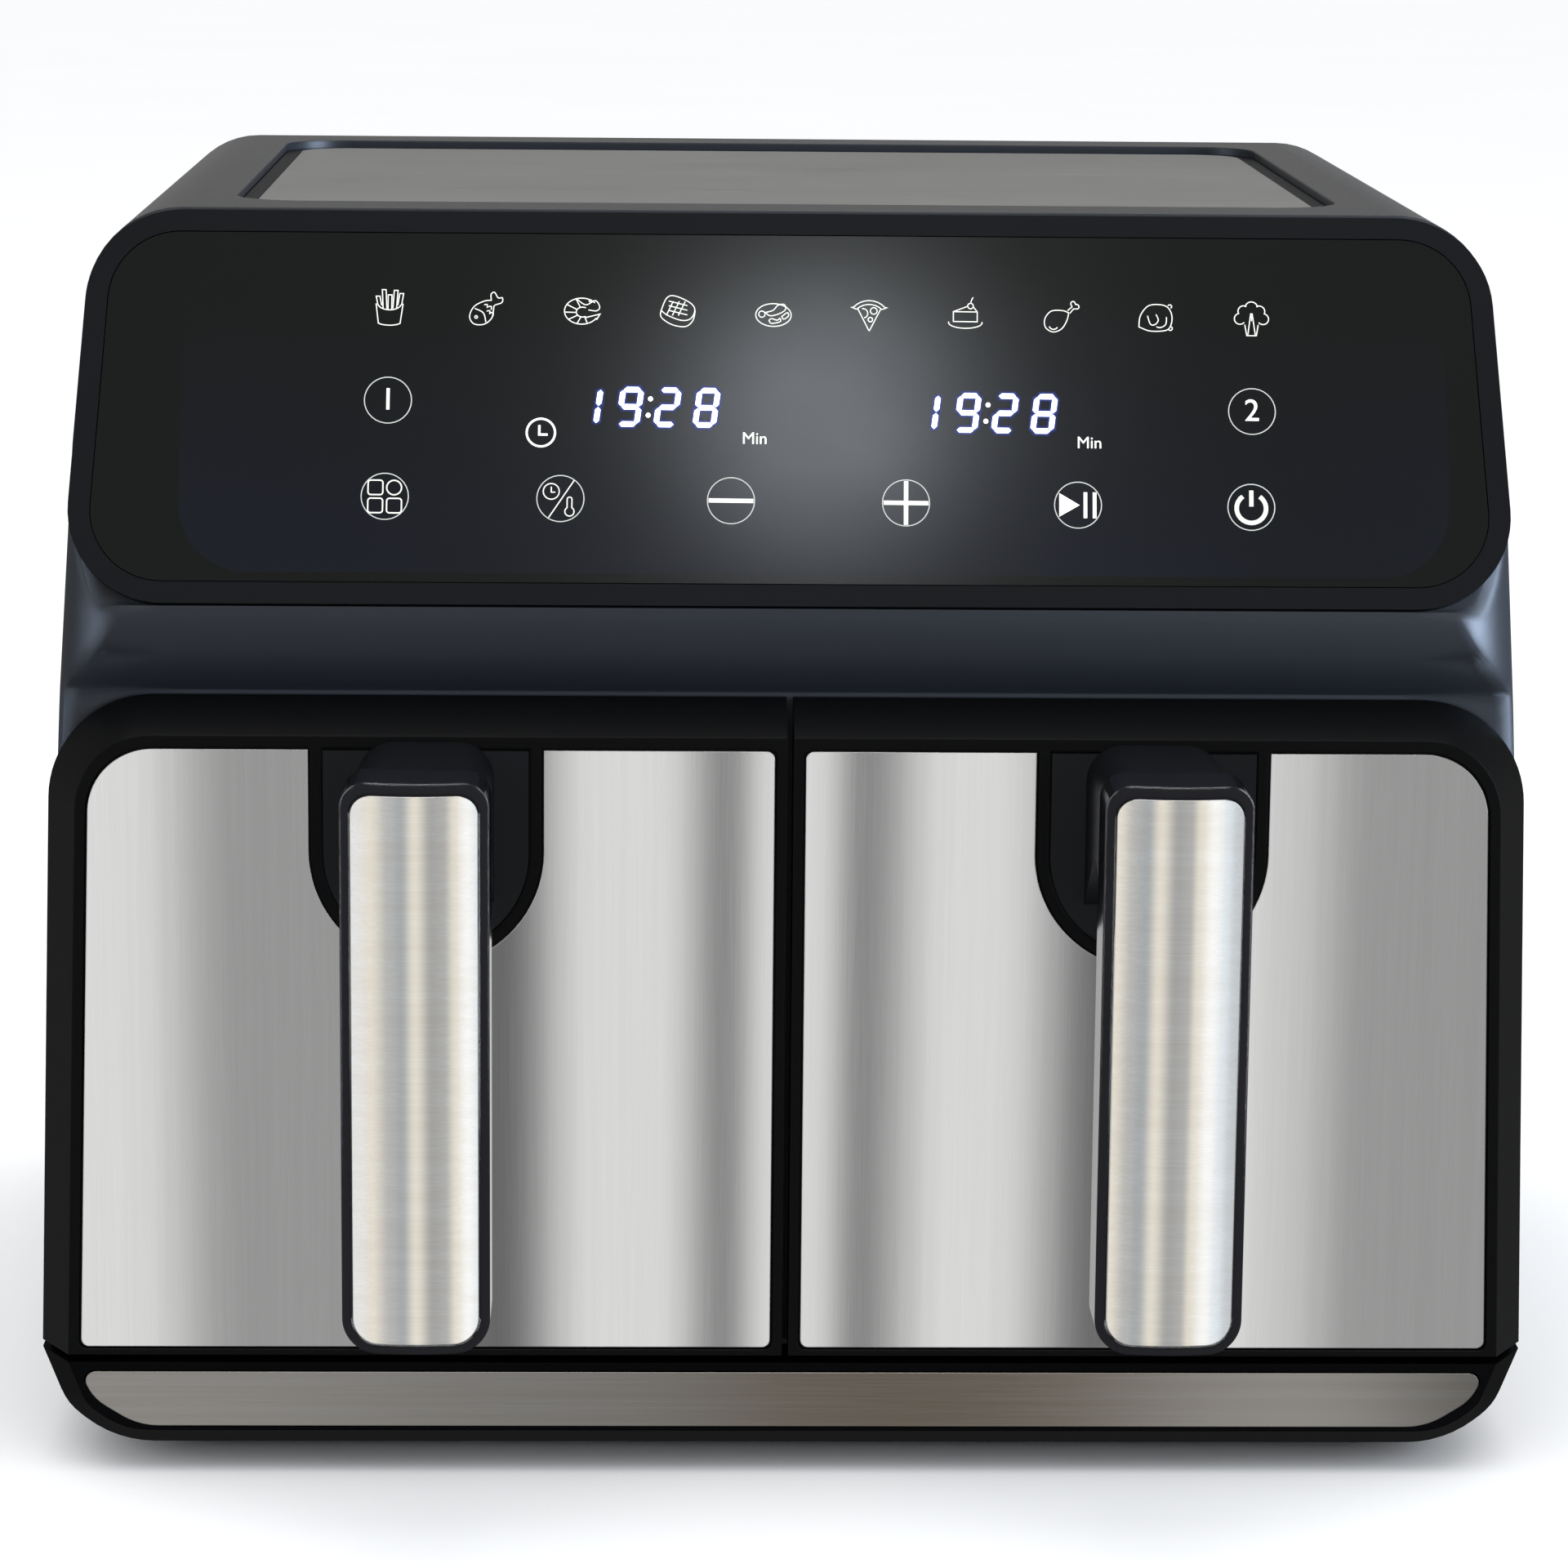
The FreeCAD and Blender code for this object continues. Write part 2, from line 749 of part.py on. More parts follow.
def make_cavity(side_name, side):
    """One cavity liner: a sheet-metal box, open at the front, with runner ribs."""
    x = f"{side}*cavity_x"
    outer = box(
        f"{side_name}_liner_outer",
        sided(side, "cavity_x - cavity_half", "cavity_x + cavity_half"),
        ("front + cavity_front", "front + cavity_rear"),
        ("cavity_bottom", "cavity_roof"),
    )
    inner = box(
        f"{side_name}_liner_inner",
        sided(side, "cavity_x - cavity_half + liner_thick", "cavity_x + cavity_half - liner_thick"),
        ("front + cavity_front - 1", "front + cavity_rear - liner_thick"),
        ("cavity_bottom + liner_thick", "cavity_roof - liner_thick"),
    )
    walls = cut(f"{side_name}_liner_walls", outer, [inner])
    ribs = []
    for i, offset in enumerate((-55, 55)):
        ribs.append(
            box(
                f"{side_name}_runner{i}",
                (f"{x} + {offset - 4}", f"{x} + {offset + 4}"),
                ("front + cavity_front", "front + cavity_rear - liner_thick"),
                ("cavity_bottom + liner_thick", "pan_bottom - 0.3"),
            )
        )
    holes = [post(f"{side_name}_shaft_hole", x, fan_y(), ("cavity_roof - 3", "cavity_roof + 2"), "6")]
    for i, leg in enumerate(element_legs(side)):
        holes.append(
            post(f"{side_name}_leg_hole{i}", leg[0], leg[1], ("cavity_roof - 3", "cavity_roof + 2"), "4.2")
        )
    rear = ("front + cavity_rear - 3", "front + cavity_rear + 2")
    holes.append(rod(f"{side_name}_plunger_hole", x, rear, "switch_level", "plunger_radius + 1.2"))
    holes.append(rod(f"{side_name}_sensor_hole", sensor_x(side), rear, "178", "2.7"))
    for i in range(5):
        holes.append(
            box(
                f"{side_name}_exhaust{i}",
                (f"{x} - 20", f"{x} + 20"),
                rear,
                (f"{192 + 6 * i}", f"{195 + 6 * i}"),
            )
        )
    whole = fuse(f"{side_name}_liner_blank", [walls] + ribs)
    name_node(f"{side_name}_cavity_liner", cut(f"{side_name}_liner_cut", whole, holes))


def element_legs(side):
    """Where the heating element's two legs rise: on its ring's open, outer end."""
    places = []
    for radius in ("element_radius", "(element_radius - 12)"):
        places.append((f"{side}*(cavity_x + {radius}*cos(12 deg))", f"{fan_y()} + {radius}*sin(12 deg)"))
    return places


def make_element(side_name, side):
    """The tubular heating element: two nested rings joined by a U-turn, on two legs."""
    x = "cavity_x"
    y = fan_y()
    z = "element_level"
    tube = "element_tube"
    outer = ring(f"{side_name}_element_outer", x, y, z, "element_radius", tube, 336, 12)
    inner = ring(f"{side_name}_element_inner", x, y, z, "element_radius - 12", tube, 336, 12)
    middle = "(element_radius - 6)"
    bend = ring(
        f"{side_name}_element_bend",
        f"{x} + {middle}*cos(348 deg)", f"{y} + {middle}*sin(348 deg)", z, "6", tube, 180, 348,
    )
    parts = [outer, inner, bend]
    for i, leg in enumerate(element_legs(RIGHT)):
        parts.append(post(f"{side_name}_element_leg{i}", leg[0], leg[1], (z, "cavity_roof + 10"), tube))
        knee = doc.addObject("Part::Sphere", f"{side_name}_element_knee{i}")
        knee.setExpression("Radius", formula(tube))
        parts.append(move(knee, leg[0], leg[1], z))
    whole = fuse(f"{side_name}_element_whole", parts)
    if side == LEFT:
        whole = mirrored(f"{side_name}_element_mirrored", whole)
    name_node(f"{side_name}_heating_element", whole)


def make_guard(side_name, side):
    """The wire guard under the element, hung from the roof on three posts."""
    x = f"{side}*cavity_x"
    y = fan_y()
    parts = []
    for i, radius in enumerate((26, 50, 75)):
        parts.append(ring(f"{side_name}_guard_ring{i}", x, y, "guard_level", str(radius), "guard_wire"))
    for i, angle in enumerate((90, 210, 330)):
        spoke = doc.addObject("Part::Cylinder", f"{side_name}_guard_spoke{i}")
        spoke.Placement = FreeCAD.Placement(
            FreeCAD.Vector(),
            FreeCAD.Rotation(FreeCAD.Vector(0, 0, 1), angle)
            * FreeCAD.Rotation(FreeCAD.Vector(0, 1, 0), 90),
        )
        spoke.setExpression("Radius", formula("guard_wire"))
        spoke.Height = 75
        parts.append(move(spoke, x, y, "guard_level"))
        parts.append(
            post(
                f"{side_name}_guard_post{i}", f"{x} + 75*cos({angle} deg)", f"{y} + 75*sin({angle} deg)",
                ("guard_level", "cavity_roof - liner_thick"), "1.6",
            )
        )
    name_node(f"{side_name}_heater_guard", fuse(f"{side_name}_guard_whole", parts))


def sensor_x(side):
    return f"{side}*(cavity_x + 55)"


def make_sensor(side_name, side):
    """The temperature probe through the rear wall of the cavity."""
    x = sensor_x(side)
    probe = rod(
        f"{side_name}_probe", x, ("front + cavity_rear - 36", "front + cavity_rear + 12"), "178", "2.4"
    )
    nut = rod(f"{side_name}_probe_nut", x, ("front + cavity_rear", "front + cavity_rear + 4"), "178", "5")
    name_node(f"{side_name}_temperature_sensor", fuse(f"{side_name}_sensor_whole", [probe, nut]))


def make_motor(side_name, side):
    """The fan motor and the bracket that stands it off the hot roof."""
    x = f"{side}*cavity_x"
    y = fan_y()
    can = post(f"{side_name}_motor_can", x, y, ("motor_bottom", "motor_top"), "motor_radius")
    nose = post(f"{side_name}_motor_nose", x, y, ("motor_bottom - 4", "motor_top + 3"), "8")
    lamination = box(
        f"{side_name}_motor_core",
        (f"{x} - 21", f"{x} + 21"), (f"{y} - 29", f"{y} + 29"),
        ("motor_bottom + 7", "motor_top - 7"),
    )
    bore = post(
        f"{side_name}_motor_bore", x, y, ("motor_bottom - 9", "motor_top + 9"), "shaft_radius + 0.06"
    )
    blank = fuse(f"{side_name}_motor_blank", [can, nose, lamination])
    name_node(f"{side_name}_fan_motor", cut(f"{side_name}_motor_cut", blank, [bore]))
    deck = box(
        f"{side_name}_bracket_deck",
        (f"{x} - 16", f"{x} + 16"), (f"{y} - 38", f"{y} + 38"), ("motor_bottom - 1.5", "motor_bottom"),
    )
    parts = [deck]
    for i, end in enumerate((-1, 1)):
        near = f"{y} + {min(end * 36.5, end * 38)}"
        far = f"{y} + {max(end * 36.5, end * 38)}"
        parts.append(
            box(
                f"{side_name}_bracket_leg{i}",
                (f"{x} - 16", f"{x} + 16"), (near, far), ("cavity_roof", "motor_bottom"),
            )
        )
        near = f"{y} + {min(end * 36.5, end * 50)}"
        far = f"{y} + {max(end * 36.5, end * 50)}"
        parts.append(
            box(
                f"{side_name}_bracket_foot{i}",
                (f"{x} - 16", f"{x} + 16"), (near, far), ("cavity_roof", "cavity_roof + 1.5"),
            )
        )
    hole = post(f"{side_name}_bracket_hole", x, y, ("motor_bottom - 3", "motor_bottom + 1"), "8.4")
    whole = fuse(f"{side_name}_bracket_blank", parts)
    name_node(f"{side_name}_motor_bracket", cut(f"{side_name}_bracket_cut", whole, [hole]))


def make_rotor(name, x, y, radius, hub, disc, blades, count):
    """A radial fan wheel: a hub, a disc and straight blades, bored for the shaft."""
    parts = [
        post(f"{name}_hub", x, y, hub, "9"),
        post(f"{name}_disc", x, y, disc, radius),
    ]
    for i in range(count):
        blade = doc.addObject("Part::Box", f"{name}_blade{i}")
        angle = 360 * i / count
        blade.setExpression("Length", formula(f"{radius} - 9"))
        blade.Width = 1.4
        blade.setExpression("Height", formula(f"({blades[1]}) - ({blades[0]})"))
        blade.Placement = FreeCAD.Placement(
            FreeCAD.Vector(), FreeCAD.Rotation(FreeCAD.Vector(0, 0, 1), angle + 18)
        )
        parts.append(
            move(blade, f"{x} + 7.5*cos({angle} deg)", f"{y} + 7.5*sin({angle} deg)", blades[0])
        )
    blank = fuse(f"{name}_blank", parts)
    bore = post(f"{name}_bore", x, y, (f"{hub[0]} - 1", f"{hub[1]} + 1"), "shaft_radius + 0.02")
    return cut(f"{name}_cut", blank, [bore])


def make_fans(side_name, side):
    """The shaft with the hot-air wheel under the roof and the cooling wheel on top."""
    x = f"{side}*cavity_x"
    y = fan_y()
    shaft = post(f"{side_name}_shaft_rod", x, y, ("201", "290"), "shaft_radius")
    name_node(f"{side_name}_motor_shaft", shaft)
    hot = make_rotor(
        f"{side_name}_hot_wheel", x, y, "fan_radius", ("203", "217"), ("215.8", "217"), ("203", "216"), 10
    )
    name_node(f"{side_name}_convection_fan", hot)
    cool = make_rotor(
        f"{side_name}_cool_wheel", x, y, "cooler_radius",
        ("275", "287"), ("275", "276.2"), ("276", "286"), 8,
    )
    name_node(f"{side_name}_cooling_fan", cool)


def make_switch(side_name, side):
    """The micro switch behind the cavity, and the plunger that the pan pushes."""
    x = f"{side}*cavity_x"
    case = box(
        f"{side_name}_switch_case",
        (f"{x} - 10", f"{x} + 10"),
        ("front + cavity_rear", "front + cavity_rear + 22"),
        ("switch_level - 8", "switch_level + 8"),
    )
    bore = rod(
        f"{side_name}_switch_bore", x,
        ("front + cavity_rear - 1", "front + cavity_rear + 19"), "switch_level", "plunger_radius + 0.08",
    )
    name_node(f"{side_name}_drawer_switch", cut(f"{side_name}_switch_cut", case, [bore]))
    plunger = rod(
        f"{side_name}_plunger_rod", x,
        ("front + pan_rear + 0.4", "front + cavity_rear + 15"), "switch_level", "plunger_radius",
    )
    name_node(f"{side_name}_switch_plunger", plunger)


def make_power_board():
    """The mains board between the two motors, on four standoffs, with its components."""
    low = "cavity_roof + 8"
    deck = "cavity_roof + 9.6"
    parts = [box("board_sheet", ("-46", "46"), ("front + 80", "front + 250"), (low, deck))]
    for i, (x, y) in enumerate(((-40, 86), (40, 86), (-40, 244), (40, 244))):
        parts.append(post(f"board_standoff{i}", str(x), f"front + {y}", ("cavity_roof", low), "3"))
    blocks = {
        "transformer": (-36, -4, 96, 130, 26),
        "relay_left": (-38, -20, 150, 170, 16),
        "relay_right": (-38, -20, 180, 200, 16),
        "heat_sink": (26, 32, 140, 190, 30),
        "terminals": (-30, 30, 226, 240, 12),
        "filter": (6, 34, 100, 118, 18),
    }
    for name, (x0, x1, y0, y1, tall) in blocks.items():
        parts.append(
            box(
                f"board_{name}",
                (str(x0), str(x1)), (f"front + {y0}", f"front + {y1}"), (deck, f"{deck} + {tall}"),
            )
        )
    for i, (x, y) in enumerate(((0, 150), (0, 168), (12, 200))):
        parts.append(post(f"board_capacitor{i}", str(x), f"front + {y}", (deck, f"{deck} + 20"), "6.3"))
    name_node("power_board", fuse("power_board_whole", parts))


# --------------------------------------------------------------- the drawers

def panel_top(grow):
    return f"(drawer_top - band_inset - rim - seam - 0.3 + {grow})"


def boss_block(name, side, grow, low, high, top):
    """The U shape of the handle boss, grown by some distance, as one solid."""
    radius = f"(boss_radius + {grow})"
    x = f"{side}*handle_x"
    stem = box(name + "_stem", (f"{x} - {radius}", f"{x} + {radius}"), (low, high), ("boss_centre", top))
    round_end = rod(name + "_end", x, (low, high), "boss_centre", radius)
    return fuse(name, [stem, round_end])


def drawer_sheet(name, side, grow, low, high):
    """The outline of the drawer's steel sheet, grown by some distance, as a body."""
    edge = f"band_inset + rim + seam - {grow}"
    bottom = f"(drawer_bottom + 2.2 - {grow})"
    top = panel_top(grow)
    inner = f"drawer_gap + rim + 0.5 - {grow}"
    points = [
        (f"{side}*({inner})", bottom),
        (f"{side}*(half_floor - draft*{bottom} - ({edge}))", bottom),
        (f"{side}*(half_floor - draft*{top} - ({edge}))", top),
        (f"{side}*({inner})", top),
    ]
    corner = f"drawer_round - band_inset - rim + {grow}"
    rounds = {0: "2", 1: "2", 3: "2", 2: corner}
    return prism(name, "XZ", low, high, points, rounds)


def make_drawer_front(side_name, side):
    """The drawer's moulded front: bevelled top and outer side, seats for sheet and boss."""
    points = [
        (f"{side}*drawer_gap", "drawer_bottom"),
        (f"{side}*(half_floor - draft*drawer_bottom)", "drawer_bottom"),
        (f"{side}*(half_floor - draft*drawer_top)", "drawer_top"),
        (f"{side}*drawer_gap", "drawer_top"),
    ]
    body = prism(
        f"{side_name}_front_body", "XZ", "front", "front + band_depth", points, {2: "drawer_round"}
    )
    face = size("front")
    inner = size("drawer_gap") + 0.01
    bottom = size("drawer_bottom") + 0.01
    chamfer(
        body,
        lambda middle, edge: flat_at(edge, "Y", face) and abs(middle.x) > inner and middle.z > bottom,
        "band_depth - 0.6",
        "band_inset",
    )
    recess = ("front - 1", "front + panel_recess")
    sheet_seat = cut(
        f"{side_name}_sheet_seat_cut",
        drawer_sheet(f"{side_name}_sheet_seat", side, "seam", *recess),
        [boss_block(f"{side_name}_boss_rim", side, "seam + rim", "front - 2", "front + 3", "drawer_top")],
    )
    boss_seat = boss_block(
        f"{side_name}_boss_seat", side, "seam", "front - 1", "front + panel_recess + 0.4", panel_top("seam")
    )
    hollow = box(
        f"{side_name}_front_hollow",
        sided(side, "drawer_gap + wall", "half_floor - draft*drawer_top - band_inset - 6"),
        ("front + 5", "front + band_depth + 1"),
        ("drawer_bottom + wall", "drawer_top - band_inset - 4"),
    )
    holes = handle_screw_rods(side_name, side, "front_hole", "front - 2", "front + 9", "2.2")
    tools = [sheet_seat, boss_seat, hollow] + holes
    name_node(f"{side_name}_drawer_front", cut(f"{side_name}_front_cut", body, tools))


def handle_screw_rods(side_name, side, tag, low, high, radius):
    """One rod for each of the two screws that hold a handle."""
    rods = []
    for i, z in enumerate((158, 178)):
        rods.append(rod(f"{side_name}_{tag}{i}", f"{side}*handle_x", (low, high), str(z), radius))
    return rods


def make_drawer_sheet(side_name, side):
    """The brushed steel sheet on the drawer's front, cut away around the boss."""
    sheet = drawer_sheet(
        f"{side_name}_sheet_body", side, "0", "front + panel_recess - sheet_thick", "front + panel_recess"
    )
    gap = boss_block(
        f"{side_name}_sheet_gap", side, "2*seam + rim", "front - 2", "front + 3", "drawer_top"
    )
    name_node(f"{side_name}_steel_panel", cut(f"{side_name}_sheet_cut", sheet, [gap]))


def make_handle(side_name, side):
    """The handle: boss plate with arm and grip core, gloss frame, steel insert."""
    x = f"{side}*handle_x"
    plate = boss_block(
        f"{side_name}_boss_plate", side, "0", "front - 1.2", "front + panel_recess + 0.4", panel_top("0")
    )
    arm_points = [
        ("front - 1", "150"),
        ("front - 1", "drawer_top - band_inset - 1.2"),
        ("front - grip_back", "grip_top - 0.3"),
        ("front - grip_back", "158"),
        ("front - 32", "171"),
    ]
    arm = prism(
        f"{side_name}_arm", "YZ", f"{x} - grip_half + 0.9", f"{x} + grip_half - 0.9",
        arm_points, {4: "14"},
    )
    arm_top = size("grip_top") - 3.5
    soften(
        arm,
        lambda middle, edge: middle.z > arm_top and edge.Length > 20 and abs(
            abs(middle.x) - size("handle_x")) > 10,
        "9", "top_round",
    )
    core = box(
        f"{side_name}_grip_core",
        (f"{x} - grip_half + 3.4", f"{x} + grip_half - 3.4"),
        ("front - 62", "front - grip_back"),
        ("grip_bottom + 4", "grip_top - 4"),
    )
    blank = fuse(f"{side_name}_mount_blank", [plate, arm, core])
    holes = handle_screw_rods(side_name, side, "mount_hole", "front - 14", "front + 2", "1.9")
    name_node(f"{side_name}_handle_mount", cut(f"{side_name}_mount_cut", blank, holes))

    bulge_y = "front - grip_front + grip_bulge"
    frame_points = [
        (f"{x} - grip_half", "grip_bottom"), (f"{x} + grip_half", "grip_bottom"),
        (f"{x} + grip_half", "grip_top"), (f"{x} - grip_half", "grip_top"),
    ]
    block = prism(
        f"{side_name}_frame_block", "XZ", "front - 72", "front - grip_back",
        frame_points, {0: "8", 1: "8", 2: "6.5", 3: "6.5"},
    )
    bulge = post(f"{side_name}_frame_bulge", x, bulge_y, ("0", "250"), "grip_bulge")
    solid = common(f"{side_name}_frame_solid", [block, bulge])
    pocket = box(
        f"{side_name}_frame_pocket",
        (f"{x} - grip_half + 3.2", f"{x} + grip_half - 3.2"),
        ("front - 62.2", "front - grip_back + 1"),
        ("grip_bottom + 3.8", "grip_top - 3.8"),
    )
    seat = cut(
        f"{side_name}_insert_seat",
        insert_block(f"{side_name}_insert_seat_block", x, "0.25"),
        [post(f"{side_name}_seat_bulge", x, bulge_y, ("0", "250"), "grip_bulge - 0.6")],
    )
    name_node(f"{side_name}_handle_frame", cut(f"{side_name}_frame_cut", solid, [pocket, seat]))

    skin = common(
        f"{side_name}_insert_skin",
        [
            insert_block(f"{side_name}_insert_block", x, "0"),
            post(f"{side_name}_insert_outer", x, bulge_y, ("0", "250"), "grip_bulge + 0.8"),
        ],
    )
    inner = post(f"{side_name}_insert_inner", x, bulge_y, ("-1", "251"), "grip_bulge - 0.6")
    name_node(f"{side_name}_handle_insert", cut(f"{side_name}_insert_cut", skin, [inner]))

    screws = []
    shanks = handle_screw_rods(side_name, side, "handle_shank", "front - 12", "front + 5", "1.85")
    heads = handle_screw_rods(side_name, side, "handle_head", "front + 5", "front + 7.5", "4")
    for i, (shank, head) in enumerate(zip(shanks, heads)):
        screws.append(fuse(f"{side_name}_handle_screw{i}", [shank, head]))
    name_node(f"{side_name}_handle_screws", fuse(f"{side_name}_handle_screw_group", screws))


def insert_block(name, x, grow):
    """The outline of the handle's steel insert, pushed through the grip."""
    half = f"(grip_half - 2.7 + {grow})"
    points = [
        (f"{x} - {half}", f"grip_bottom + 2.6 - {grow}"), (f"{x} + {half}", f"grip_bottom + 2.6 - {grow}"),
        (f"{x} + {half}", f"grip_top - 3 + {grow}"), (f"{x} - {half}", f"grip_top - 3 + {grow}"),
    ]
    return prism(name, "XZ", "front - 75", "front - 60", points, {0: "6", 1: "6", 2: "5", 3: "5"})


def pan_points(side, inset):
    """A pan seen from above, set in by some distance."""
    x = f"{side}*cavity_x"
    return [
        (f"{x} - pan_half + ({inset})", f"front + band_depth + pan_rim + ({inset})"),
        (f"{x} + pan_half - ({inset})", f"front + band_depth + pan_rim + ({inset})"),
        (f"{x} + pan_half - ({inset})", f"front + pan_rear - ({inset})"),
        (f"{x} - pan_half + ({inset})", f"front + pan_rear - ({inset})"),
    ]


def make_pan(side_name, side):
    """The non-stick pan: thin walls, rounded corners and a rolled rim."""
    corners = {i: "pan_round" for i in range(4)}
    outside = prism(f"{side_name}_pan_outside", "XY", "pan_bottom", "pan_top", pan_points(side, "0"), corners)
    floor = size("pan_bottom")
    soften(outside, lambda middle, edge: flat_at(edge, "Z", floor), "8", "floor_round")
    rounds = {i: "pan_round - pan_wall" for i in range(4)}
    inside = prism(
        f"{side_name}_pan_inside", "XY", "pan_bottom + pan_wall", "pan_top + 1",
        pan_points(side, "pan_wall"), rounds,
    )
    inner_floor = floor + size("pan_wall")
    soften(inside, lambda middle, edge: flat_at(edge, "Z", inner_floor), "6.5", "floor_round")
    rim_rounds = {i: "pan_round + pan_rim" for i in range(4)}
    rolled = prism(
        f"{side_name}_pan_flange", "XY", "pan_top - 3", "pan_top", pan_points(side, "-pan_rim"), rim_rounds
    )
    blank = fuse(f"{side_name}_pan_blank", [outside, rolled])
    name_node(f"{side_name}_pan", cut(f"{side_name}_pan_cut", blank, [inside]))


def make_crisper(side_name, side):
    """The perforated plate that lies in the pan, and its silicone bumpers."""
    x = f"{side}*cavity_x"
    corners = {i: "pan_round - pan_wall - 2" for i in range(4)}
    low = "plate_level"
    high = "plate_level + plate_thick"
    plate = prism(f"{side_name}_plate_body", "XY", low, high, pan_points(side, "pan_wall + 2"), corners)
    holes = []
    for column in range(7):
        for row in range(11):
            holes.append(
                post(
                    f"{side_name}_plate_hole{column}_{row}",
                    f"{x} + {18 * (column - 3)}", f"front + 132 + {18 * (row - 5)}",
                    (f"{low} - 1", f"{high} + 1"), "3.5",
                )
            )
    feet = []
    for i, (dx, dy) in enumerate(((-57, 31), (57, 31), (-57, 229), (57, 229))):
        feet.append(
            post(f"{side_name}_plate_leg{i}", f"{x} + {dx}", f"front + {dy}", ("pan_bottom + pan_wall + 0.3", low), "3")
        )
    blank = fuse(f"{side_name}_plate_blank", [plate] + feet)
    name_node(f"{side_name}_crisper_plate", cut(f"{side_name}_plate_cut", blank, holes))
    bumpers = []
    reach = "pan_half - pan_wall"
    for i, (end, depth) in enumerate(((-1, 60), (1, 60), (-1, 200), (1, 200))):
        inner = f"{x} + {end}*({reach} - 2)"
        outer = f"{x} + {end}*({reach} - 0.4)"
        pair = (inner, outer) if end > 0 else (outer, inner)
        bumpers.append(
            box(
                f"{side_name}_bumper{i}", pair,
                (f"front + {depth - 8}", f"front + {depth + 8}"), (f"{low} - 1", f"{high} + 2"),
            )
        )
    name_node(f"{side_name}_plate_bumpers", fuse(f"{side_name}_bumper_group", bumpers))


# ------------------------------------------------------------------ assembly

make_base()
make_base_trim()
make_feet()
envelope = housing_envelope()
make_shell(envelope)
make_lid()
make_control_panel(envelope)
make_rear_cover()
make_rear_fittings()
make_power_board()
for side_name, side in SIDES.items():
    make_cavity(side_name, side)
    make_element(side_name, side)
    make_guard(side_name, side)
    make_sensor(side_name, side)
    make_motor(side_name, side)
    make_fans(side_name, side)
    make_switch(side_name, side)
    make_drawer_front(side_name, side)
    make_drawer_sheet(side_name, side)
    make_handle(side_name, side)
    make_pan(side_name, side)
    make_crisper(side_name, side)
doc.recompute()

for feature in doc.Objects:
    if "Invalid" in feature.State or "Error" in feature.State:
        raise RuntimeError(f"{feature.Label} failed: {feature.State}")

os.makedirs("parts", exist_ok=True)
for label, feature in nodes.items():
    shape = feature.Shape
    if shape.isNull() or not shape.isValid():
        raise RuntimeError(f"{label} has no valid shape")
for label, feature in nodes.items():
    feature.Shape.exportStep(f"parts/{label}.step")
    print(label, len(feature.Shape.Solids), round(feature.Shape.Volume / 1000, 1))
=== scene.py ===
import json
import math

import bmesh
import bpy
from mathutils import Matrix, Vector

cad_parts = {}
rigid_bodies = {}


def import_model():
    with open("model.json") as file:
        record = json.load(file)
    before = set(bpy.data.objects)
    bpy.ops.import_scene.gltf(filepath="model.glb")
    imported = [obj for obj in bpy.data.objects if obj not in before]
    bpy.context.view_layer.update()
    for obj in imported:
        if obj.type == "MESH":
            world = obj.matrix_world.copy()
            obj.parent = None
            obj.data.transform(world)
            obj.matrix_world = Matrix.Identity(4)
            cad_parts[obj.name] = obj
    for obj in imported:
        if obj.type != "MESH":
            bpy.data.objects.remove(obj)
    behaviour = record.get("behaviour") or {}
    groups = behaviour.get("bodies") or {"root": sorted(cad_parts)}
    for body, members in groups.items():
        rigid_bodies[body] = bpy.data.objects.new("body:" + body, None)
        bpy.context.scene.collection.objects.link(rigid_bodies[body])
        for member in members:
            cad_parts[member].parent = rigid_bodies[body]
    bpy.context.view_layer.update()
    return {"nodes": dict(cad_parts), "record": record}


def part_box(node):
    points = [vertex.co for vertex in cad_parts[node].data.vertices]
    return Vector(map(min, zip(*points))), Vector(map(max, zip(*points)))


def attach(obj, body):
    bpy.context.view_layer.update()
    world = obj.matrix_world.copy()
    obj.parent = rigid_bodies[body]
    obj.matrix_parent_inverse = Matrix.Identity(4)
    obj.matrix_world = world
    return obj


# A two-drawer air fryer: finishes, the lit control panel, the studio and the camera.
# Metres throughout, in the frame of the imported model: +X right, +Y back, +Z up.

MM = 0.001

for leftover in list(bpy.data.objects):
    bpy.data.objects.remove(leftover)

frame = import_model()
nodes = frame["nodes"]
scene = bpy.context.scene
SLOT_OF = {part["node"]: part["material_slot"] for part in frame["record"]["subparts"]}

DRAWER_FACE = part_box("left_drawer_front")[0].y


# ------------------------------------------------------------------ materials

